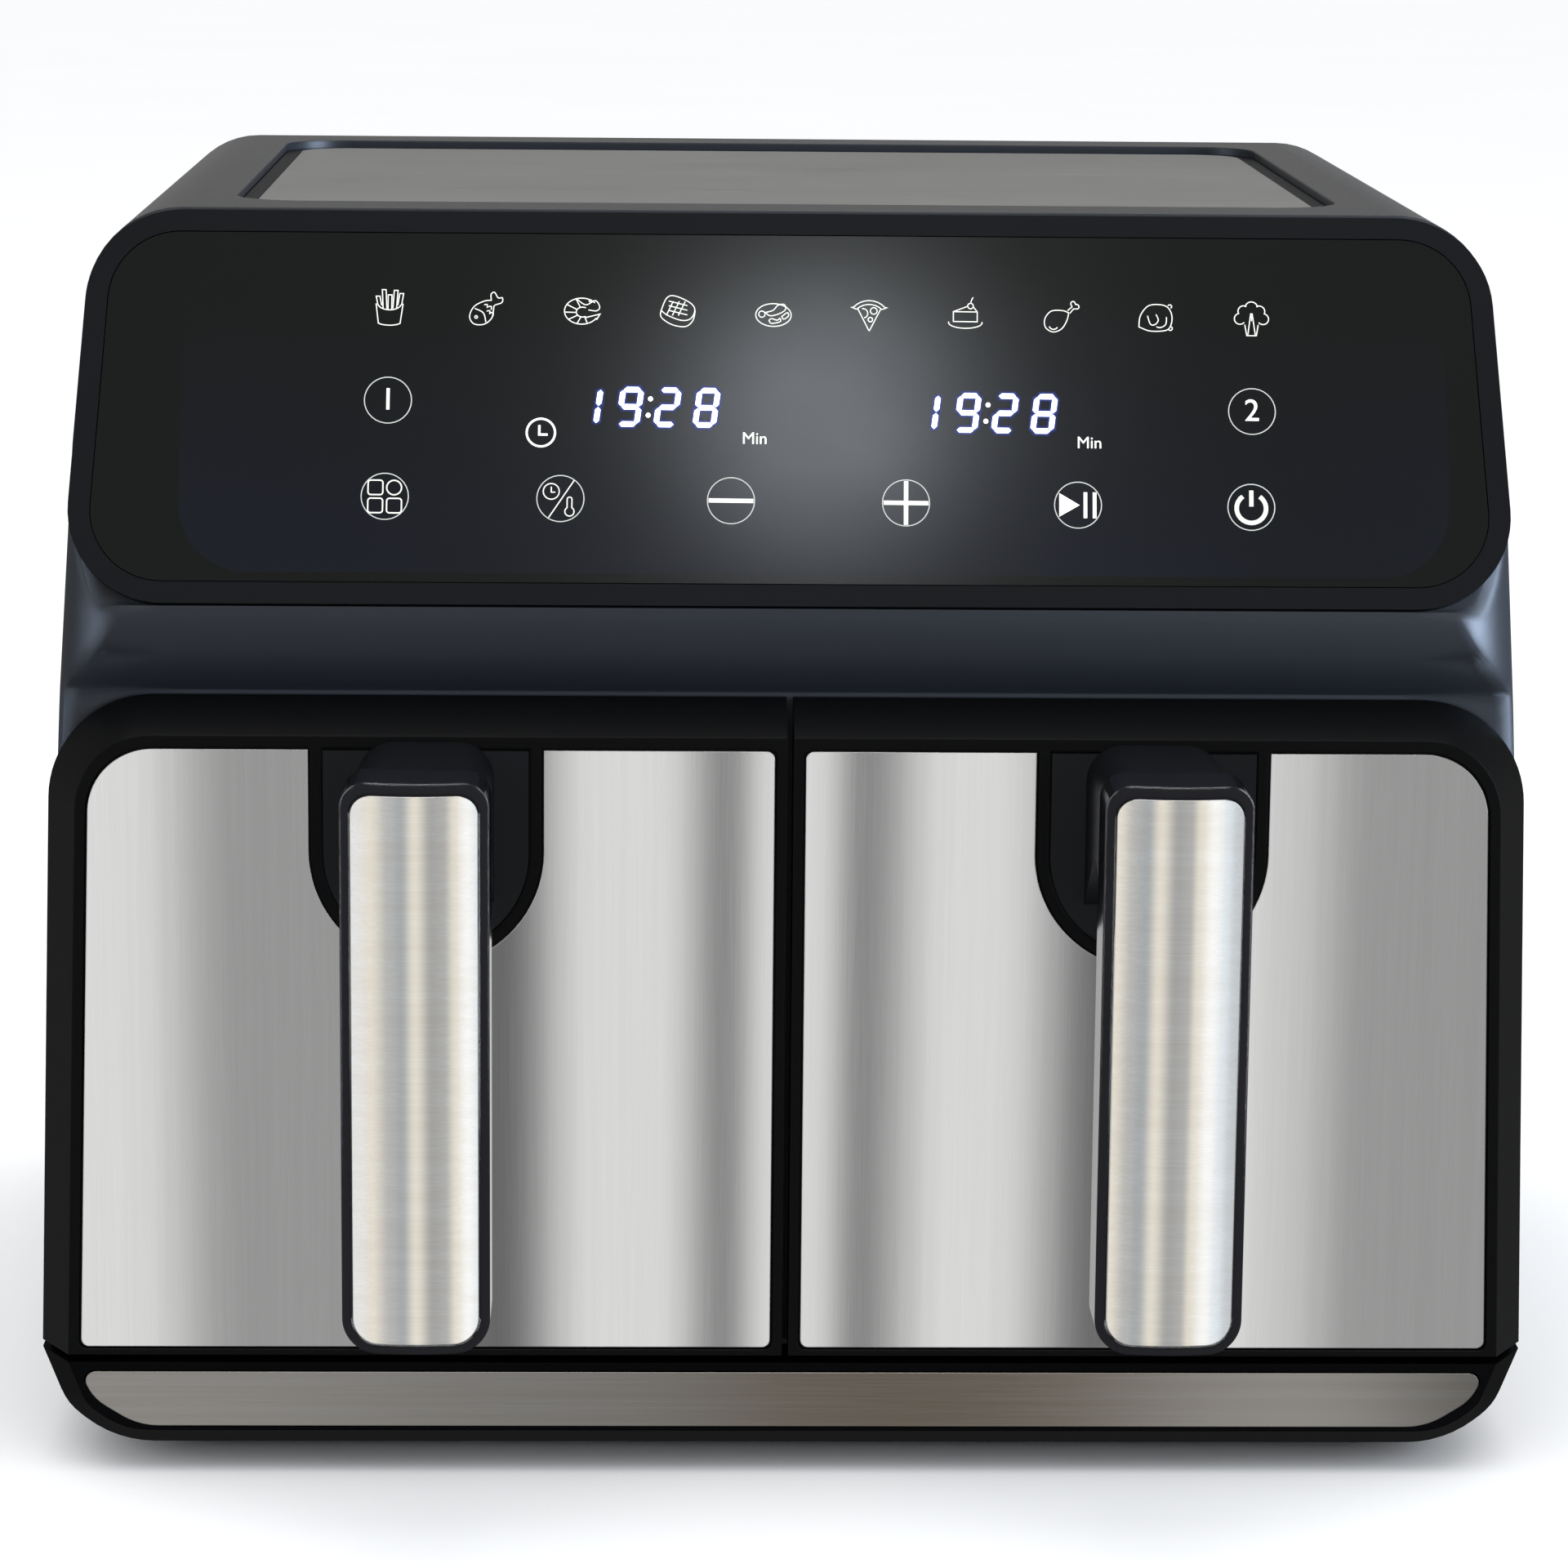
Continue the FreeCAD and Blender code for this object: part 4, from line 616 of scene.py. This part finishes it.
# Each icon is drawn about its own middle, about one unit up, down and to each side.
ICONS = [fries, fish, shrimp, grill_steak, bacon_plate, pizza, cake, drumstick, roast, broccoli]
ICON_ROW = 75.8
ICON_FIRST = -101.0
ICON_STEP = 24.1
ICON_HALF = 4.7
ICON_LINE = 0.27
for index, draw in enumerate(ICONS):
    column = ICON_FIRST + ICON_STEP * index
    strokes(f"legend_{draw.__name__}", draw(), ICON_LINE, ICON_INK, column, ICON_ROW, ICON_HALF)

BUTTON_RADIUS = 5.9
RING_LINE = 0.26
BUTTONS = {"menu": -101.6, "time_heat": -57.8, "minus": -15.2, "plus": 28.6, "start": 71.7, "power": 115.2}
BUTTON_ROW = 27.4
BASKET_ROW = 52.0
BASKETS = {"one": ("1", -101.1), "two": ("2", 115.7)}
NUMBER_HIGH = 5.6
for name, x in BUTTONS.items():
    strokes(f"ring_{name}", [curve_points(0, 0, BUTTON_RADIUS)], RING_LINE, RING_INK, x, BUTTON_ROW)
for name, (number, x) in BASKETS.items():
    strokes(f"ring_basket_{name}", [curve_points(0, 0, BUTTON_RADIUS)], RING_LINE, RING_INK, x, BASKET_ROW)
for name, (number, x) in BASKETS.items():
    lettering(f"legend_basket_{name}", number, NUMBER_HIGH, LEGEND_INK, x, BASKET_ROW)

menu = [box_points(x, y, x + 3.7, y + 3.7, 0.7) for x, y in ((-4.2, 0.4), (-4.2, -4.2), (0.5, -4.2))]
menu.append(curve_points(2.3, 2.25, 1.85))
strokes("legend_menu", menu, 0.36, ICON_INK, BUTTONS["menu"], BUTTON_ROW)

small_clock = [curve_points(-2.3, 1.8, 2.0), [(-2.3, 3.0), (-2.3, 1.6), (-1.3, 1.6)]]
slash = [[(-2.9, -4.9), (3.4, 4.7)]]
stem_end = curve_points(2.3, -0.2, 0.6, 0, 180)
thermometer = [curve_points(2.3, -3.3, 1.15, 120, 420) + [(2.9, -0.4)] + stem_end + [(1.7, -2.3)]]
time_heat = small_clock + slash + thermometer
strokes("legend_time_heat", time_heat, 0.30, ICON_INK, BUTTONS["time_heat"], BUTTON_ROW)

bar = [(-5.6, -0.55), (5.6, -0.55), (5.6, 0.55), (-5.6, 0.55)]
plates("legend_minus", [bar], ICON_INK, BUTTONS["minus"], BUTTON_ROW)
upright = [(y, x) for x, y in reversed(bar)]
plates("legend_plus", [bar], ICON_INK, BUTTONS["plus"], BUTTON_ROW)
plates("legend_plus_upright", [upright], ICON_INK, BUTTONS["plus"], BUTTON_ROW, thick=0.03)

triangle = [(-4.7, -3.0), (0.4, 0.0), (-4.7, 3.0)]
pauses = [[(x, -3.3), (x + 0.9, -3.3), (x + 0.9, 3.3), (x, 3.3)] for x in (1.4, 3.7)]
plates("legend_start", [triangle] + pauses, LEGEND_INK, BUTTONS["start"], BUTTON_ROW)

strokes("legend_power", [curve_points(0, -0.3, 3.7, 125, 415)], 1.15, ICON_INK, BUTTONS["power"], BUTTON_ROW)
strokes("legend_power_bar", [[(0, 0.2), (0, 4.3)]], 1.1, ICON_INK, BUTTONS["power"], BUTTON_ROW)

CLOCK = (-62.8, 44.2)
MINUTES_ROW = 43.3
MINUTES_HIGH = 3.0
strokes("ring_clock", [curve_points(0, 0, 3.55)], 0.55, LEGEND_INK, *CLOCK)
strokes("hands_clock", [[(-0.4, 1.9), (-0.4, -0.5), (1.7, -0.5)]], 0.6, LEGEND_INK, *CLOCK)
lettering("legend_minutes_left", "Min", MINUTES_HIGH, LEGEND_INK, -9.3, MINUTES_ROW)
lettering("legend_minutes_right", "Min", MINUTES_HIGH, LEGEND_INK, 74.7, MINUTES_ROW)

SEGMENTS = {"1": "bc", "2": "abged", "8": "abcdefg", "9": "abcdfg"}
SEGMENT_GAP = 0.16
DIGIT_HIGH = 10.2
DIGIT_WIDE = 5.9
DIGIT_STROKE = 1.35
DIGIT_PLACES = (-7.4, 2.8, 12.2, 22.0)
COLON_PLACE = 10.6
SLANT = 0.13


def segment_outline(letter):
    """One bar of a seven-segment digit, with pointed ends, about the digit's lower left."""
    gap = SEGMENT_GAP
    half = DIGIT_STROKE / 2
    rows = {"a": DIGIT_HIGH - half, "g": DIGIT_HIGH / 2, "d": half}
    if letter in rows:
        y = rows[letter]
        x0, x1 = half + gap, DIGIT_WIDE - half - gap
        below = [(x0 + half, y - half), (x1 - half, y - half)]
        above = [(x1 - half, y + half), (x0 + half, y + half)]
        return [(x0, y)] + below + [(x1, y)] + above
    x = DIGIT_WIDE - half if letter in "bc" else half
    low = DIGIT_HIGH / 2 if letter in "bf" else half
    y0, y1 = low + gap, low + DIGIT_HIGH / 2 - half - gap
    right = [(x + half, y0 + half), (x + half, y1 - half)]
    left = [(x - half, y1 - half), (x - half, y0 + half)]
    return [(x, y0)] + right + [(x, y1)] + left


def grow(outline, by):
    """Push an outline's corners out from its middle line by some distance."""
    cx = sum(x for x, _ in outline) / len(outline)
    cy = sum(y for _, y in outline) / len(outline)
    grown = []
    for x, y in outline:
        away = Vector((x - cx, y - cy))
        push_x = math.copysign(by, away.x) * min(1, abs(away.x) / 0.5)
        push_y = math.copysign(by, away.y) * min(1, abs(away.y) / 0.5)
        grown.append((x + push_x, y + push_y))
    return grown


def slanted(outline, shift):
    """An outline moved along the row and leant to the right."""
    return [(x + shift + SLANT * y, y) for x, y in outline]


def halo_material():
    """The blue bloom round the lit digits: strong at the bars, fading to nothing."""
    material = bpy.data.materials.new("digit_halo")
    material.use_nodes = True
    tree = material.node_tree
    tree.nodes.clear()
    fade = tree.nodes.new("ShaderNodeAttribute")
    fade.attribute_name = "fade"
    soft = tree.nodes.new("ShaderNodeMath")
    soft.operation = "POWER"
    soft.inputs[1].default_value = 2.2
    clear = tree.nodes.new("ShaderNodeBsdfTransparent")
    glow = tree.nodes.new("ShaderNodeEmission")
    glow.inputs["Color"].default_value = (0.10, 0.16, 0.75, 1)
    glow.inputs["Strength"].default_value = 1.0
    mix = tree.nodes.new("ShaderNodeMixShader")
    out = tree.nodes.new("ShaderNodeOutputMaterial")
    tree.links.new(fade.outputs["Fac"], soft.inputs[0])
    tree.links.new(soft.outputs[0], mix.inputs[0])
    tree.links.new(clear.outputs[0], mix.inputs[1])
    tree.links.new(glow.outputs[0], mix.inputs[2])
    tree.links.new(mix.outputs[0], out.inputs["Surface"])
    return material


HALO = halo_material()


def halo(name, outlines, reach, x, y):
    """A flat collar round each bar, whose fade attribute falls from 1 to 0."""
    build = bmesh.new()
    fade = build.verts.layers.float.new("fade")
    for index, outline in enumerate(outlines):
        lift = 0.0004 * index * MM
        inner = [build.verts.new((px * MM, py * MM, lift)) for px, py in outline]
        outer = [build.verts.new((px * MM, py * MM, lift)) for px, py in grow(outline, reach)]
        for vertex in inner:
            vertex[fade] = 0.8
        for i in range(len(outline)):
            j = (i + 1) % len(outline)
            build.faces.new((inner[i], inner[j], outer[j], outer[i]))
    mesh = bpy.data.meshes.new(name)
    build.to_mesh(mesh)
    build.free()
    mesh.materials.append(HALO)
    piece = bpy.data.objects.new(name, mesh)
    scene.collection.objects.link(piece)
    return lay_on_panel(piece, x, y, 0.01)


def readout(name, x, y):
    """Four digits and a colon, leaning a little to the right."""
    shapes = []
    for digit, shift in zip("1928", DIGIT_PLACES):
        shapes += [slanted(segment_outline(letter), shift) for letter in SEGMENTS[digit]]
    dots = [curve_points(COLON_PLACE + SLANT * high, high, 0.6)[:-1] for high in (3.0, 7.2)]
    plates(f"digits_{name}", shapes + dots, DIGIT_INK, x, y, thick=0.03, lift=0.03)
    halo(f"bloom_{name}", shapes, 0.9, x, y)


readout("left", -47.0, 46.0)
readout("right", 37.7, 45.6)


# --------------------------------------------------------------- the studio

def area_light(name, place, aim, size, colour, power):
    """A rectangular softbox that the camera doesn't see."""
    data = bpy.data.lights.new(name, "AREA")
    data.shape = "RECTANGLE"
    data.size, data.size_y = size
    data.color = colour
    data.energy = power
    lamp = bpy.data.objects.new(name, data)
    lamp.location = place
    lamp.rotation_euler = (Vector(aim) - Vector(place)).to_track_quat("-Z", "Y").to_euler()
    lamp.visible_camera = False
    scene.collection.objects.link(lamp)
    return lamp


def stage_plane(name, corners, material):
    """A flat four-cornered piece of the studio."""
    mesh = bpy.data.meshes.new(name)
    mesh.from_pydata([tuple(c) for c in corners], [], [(0, 1, 2, 3)])
    mesh.materials.append(material)
    piece = bpy.data.objects.new(name, mesh)
    scene.collection.objects.link(piece)
    return piece


def scrim_glow(name, half_width, stops):
    """Light cloth lit unevenly from behind: brightness by place across it, from stops."""
    material = bpy.data.materials.new(name)
    material.use_nodes = True
    tree = material.node_tree
    tree.nodes.clear()
    place = tree.nodes.new("ShaderNodeTexCoord")
    split = tree.nodes.new("ShaderNodeSeparateXYZ")
    across = tree.nodes.new("ShaderNodeMapRange")
    across.inputs["From Min"].default_value = -half_width
    across.inputs["From Max"].default_value = half_width
    ramp = tree.nodes.new("ShaderNodeValToRGB")
    ramp.color_ramp.interpolation = "EASE"
    elements = ramp.color_ramp.elements
    elements.remove(elements[0])
    for index, (x, colour) in enumerate(stops):
        position = (x + half_width) / (2 * half_width)
        element = elements.new(position) if index else elements[0]
        element.position = position
        element.color = (*colour, 1)
    glow = tree.nodes.new("ShaderNodeEmission")
    out = tree.nodes.new("ShaderNodeOutputMaterial")
    tree.links.new(place.outputs["Object"], split.inputs[0])
    tree.links.new(split.outputs["X"], across.inputs["Value"])
    tree.links.new(across.outputs["Result"], ramp.inputs["Fac"])
    clear = tree.nodes.new("ShaderNodeBsdfTransparent")
    both = tree.nodes.new("ShaderNodeAddShader")
    tree.links.new(ramp.outputs["Color"], glow.inputs["Color"])
    tree.links.new(glow.outputs[0], both.inputs[0])
    tree.links.new(clear.outputs[0], both.inputs[1])
    tree.links.new(both.outputs[0], out.inputs["Surface"])
    material.cycles.emission_sampling = "NONE"
    return material


PLAIN = (1.0, 1.0, 1.0)
WARM = (1.0, 0.93, 0.80)
CLOUDY = (0.85, 0.93, 1.0)
AMBER = (1.0, 0.60, 0.20)


def scrim(name, distance, half_width, low, high, bands, receivers):
    """A lit cloth in front of the object, seen only as a reflection in its bright metal.

    bands gives place across the cloth, brightness and tint; the cloth fades between them.
    """
    stops = [(x, tint(colour, brightness)) for x, brightness, colour in bands]
    material = scrim_glow(name + "_glow", half_width, stops)
    y = DRAWER_FACE - distance
    corners = [(-half_width, y, low), (half_width, y, low), (half_width, y, high), (-half_width, y, high)]
    piece = stage_plane(name, corners, material)
    piece.visible_camera = False
    piece.visible_diffuse = False
    piece.visible_shadow = False
    group = bpy.data.collections.new(name + "_receivers")
    for node in receivers:
        group.objects.link(nodes[node])
    piece.light_linking.receiver_collection = group
    return piece


BRIGHT = 0.70
PALE = 0.55
GREY = 0.22
DIM = 0.10
UNLIT = 0.0
scrim(
    "sheet_scrim", 1.0, 0.60, -1.6, 0.70,
    [
        (-0.27, BRIGHT, PLAIN), (-0.22, GREY, PLAIN), (-0.18, GREY, PLAIN), (-0.10, UNLIT, PLAIN),
        (-0.06, BRIGHT, PLAIN), (-0.03, BRIGHT, PLAIN), (0.00, DIM, PLAIN), (0.02, BRIGHT, PLAIN),
        (0.04, BRIGHT, PLAIN), (0.06, DIM, PLAIN), (0.10, BRIGHT, PLAIN), (0.12, BRIGHT, PLAIN),
        (0.17, UNLIT, PLAIN), (0.23, BRIGHT, PLAIN), (0.25, PALE, PLAIN), (0.29, GREY, PLAIN),
    ],
    ["left_steel_panel", "right_steel_panel"],
)
scrim(
    "grip_scrim", 3.0, 3.6, -3.0, 1.9,
    [
        (-2.2, BRIGHT, PLAIN), (-1.6, BRIGHT, WARM), (-1.0, 0.35, PLAIN), (-0.6, 0.30, CLOUDY),
        (-0.2, BRIGHT, WARM), (0.3, 0.25, PLAIN), (0.7, 0.30, PLAIN), (1.0, BRIGHT, WARM),
        (1.5, 0.90, PLAIN), (2.0, 0.80, CLOUDY), (2.5, PALE, CLOUDY), (3.4, 0.35, PLAIN),
    ],
    ["left_handle_insert", "right_handle_insert"],
)
scrim(
    "strip_scrim", 1.02, 0.60, -1.6, 0.70,
    [
        (-0.30, 0.35, PLAIN), (-0.05, 0.20, PLAIN), (0.05, 0.08, AMBER), (0.12, 0.08, AMBER),
        (0.28, 0.45, PLAIN), (0.36, UNLIT, PLAIN),
    ],
    ["base_trim_strip"],
)

floor_paint = Finish("studio_floor", Specular_IOR_Level=0.1, Roughness=0.9)
floor_tone = floor_paint.blend(floor_paint.noise(3.0), (0.90, 0.905, 0.91), (0.93, 0.93, 0.93))
floor_paint.feed("Base Color", floor_tone)
REACH = 14.0
floor_corners = [(-REACH, -REACH, 0), (REACH, -REACH, 0), (REACH, REACH, 0), (-REACH, REACH, 0)]
floor = stage_plane("studio_floor_plane", floor_corners, floor_paint.material)
floor.visible_glossy = False

area_light("key_overhead", (0.0, -0.5, 2.4), (0, 0, 0), (2.4, 2.0), (1.0, 1.0, 1.0), 26)
area_light("window_right", (2.0, -0.9, 0.7), (0, 0, 0.2), (1.0, 1.6), (0.72, 0.83, 1.0), 14)
area_light("window_left", (-2.0, -1.0, 0.6), (0, 0, 0.2), (0.6, 1.4), (0.80, 0.90, 1.0), 5)


def only_on(lamps, receivers):
    """Let some lights fall on a few nodes only, like a flag and a grid on a real lamp."""
    group = bpy.data.collections.new("lit_" + receivers[0])
    for node in receivers:
        group.objects.link(nodes[node])
    for lamp in lamps:
        lamp.light_linking.receiver_collection = group


AIM = (0, 0, 0.15)
COOL = (0.93, 0.97, 1.0)
SKY = (0.60, 0.75, 1.0)
only_on(
    [
        area_light("edge_above", (0.0, -1.3, 1.7), AIM, (2.2, 0.22), COOL, 70),
        area_light("edge_left", (-1.9, -1.1, 0.35), AIM, (0.2, 1.6), COOL, 40),
        area_light("edge_right", (1.9, -1.1, 0.35), AIM, (0.2, 1.6), COOL, 50),
    ],
    ["left_handle_frame", "right_handle_frame"],
)
only_on(
    [
        area_light("sky_right", (2.0, -1.0, 0.35), (0.19, -0.1, 0.2), (1.1, 1.3), SKY, 190),
        area_light("sky_left", (-2.0, -0.7, 0.35), (-0.19, -0.1, 0.2), (1.1, 1.3), SKY, 26),
        area_light("low_front", (0.0, -1.7, 0.12), (0, 0, 0.2), (2.4, 0.2), COOL, 2.5),
        area_light("wall_behind", (0.0, 3.0, 0.7), (0, 0, 0.3), (3.6, 0.9), (1.0, 0.98, 0.95), 6),
    ],
    ["outer_shell"],
)

# A small round lamp stands where the glass mirrors it to the viewer, near the panel's middle.
GLOW_SPOT = Vector((7.5, 50.0, 0)) * MM
GLOW_DISTANCE = 1.9
GLOW_SIZE = 0.15
VIEW_DISTANCE = 1.2737
glow_centre = ON_PANEL @ GLOW_SPOT
camera_place = Vector((-0.0355, DRAWER_FACE - VIEW_DISTANCE, 0.4291))
panel_normal = ON_PANEL.to_3x3() @ Vector((0, 0, 1))
to_eye = (camera_place - glow_centre).normalized()
bounce = panel_normal * (2 * to_eye.dot(panel_normal)) - to_eye
disc_place = glow_centre + bounce * GLOW_DISTANCE
disc = area_light("panel_glow", disc_place, glow_centre, (GLOW_SIZE, GLOW_SIZE), (0.88, 0.93, 1.0), 0.42)
disc.data.shape = "DISK"

# The air is bright to the eye and dim in mirrors, so that the blacks stay black.
AIR_TO_EYE = 1.1
AIR_IN_METAL = 0.16
world = bpy.data.worlds.new("studio_air")
world.use_nodes = True
scene.world = world
air = world.node_tree
backdrop = air.nodes["Background"]
backdrop.inputs["Color"].default_value = (0.985, 0.99, 1.0, 1)
ray = air.nodes.new("ShaderNodeLightPath")
dim = air.nodes.new("ShaderNodeMapRange")
dim.inputs["To Min"].default_value = AIR_TO_EYE
dim.inputs["To Max"].default_value = AIR_IN_METAL
air.links.new(ray.outputs["Is Glossy Ray"], dim.inputs["Value"])
air.links.new(dim.outputs["Result"], backdrop.inputs["Strength"])

scene.view_settings.view_transform = "Standard"
scene.view_settings.look = "None"


# --------------------------------------------------------------- the camera

YAW = 0.0266
PITCH = 0.1928
ROLL = 0.0096
forward = Vector((math.sin(YAW) * math.cos(PITCH), math.cos(YAW) * math.cos(PITCH), -math.sin(PITCH)))
level = Vector((math.cos(YAW), -math.sin(YAW), 0))
upward = level.cross(forward)
right = level * math.cos(ROLL) + upward * math.sin(ROLL)
above = upward * math.cos(ROLL) - level * math.sin(ROLL)
turned = Matrix((right, above, -forward)).transposed().to_4x4()

FOCAL_LENGTH = 119.2
SENSOR_WIDTH = 36
lens = bpy.data.cameras.new("camera")
lens.lens = FOCAL_LENGTH
lens.sensor_width = SENSOR_WIDTH
camera = bpy.data.objects.new("camera", lens)
camera.matrix_world = Matrix.Translation(camera_place) @ turned
scene.collection.objects.link(camera)
scene.camera = camera
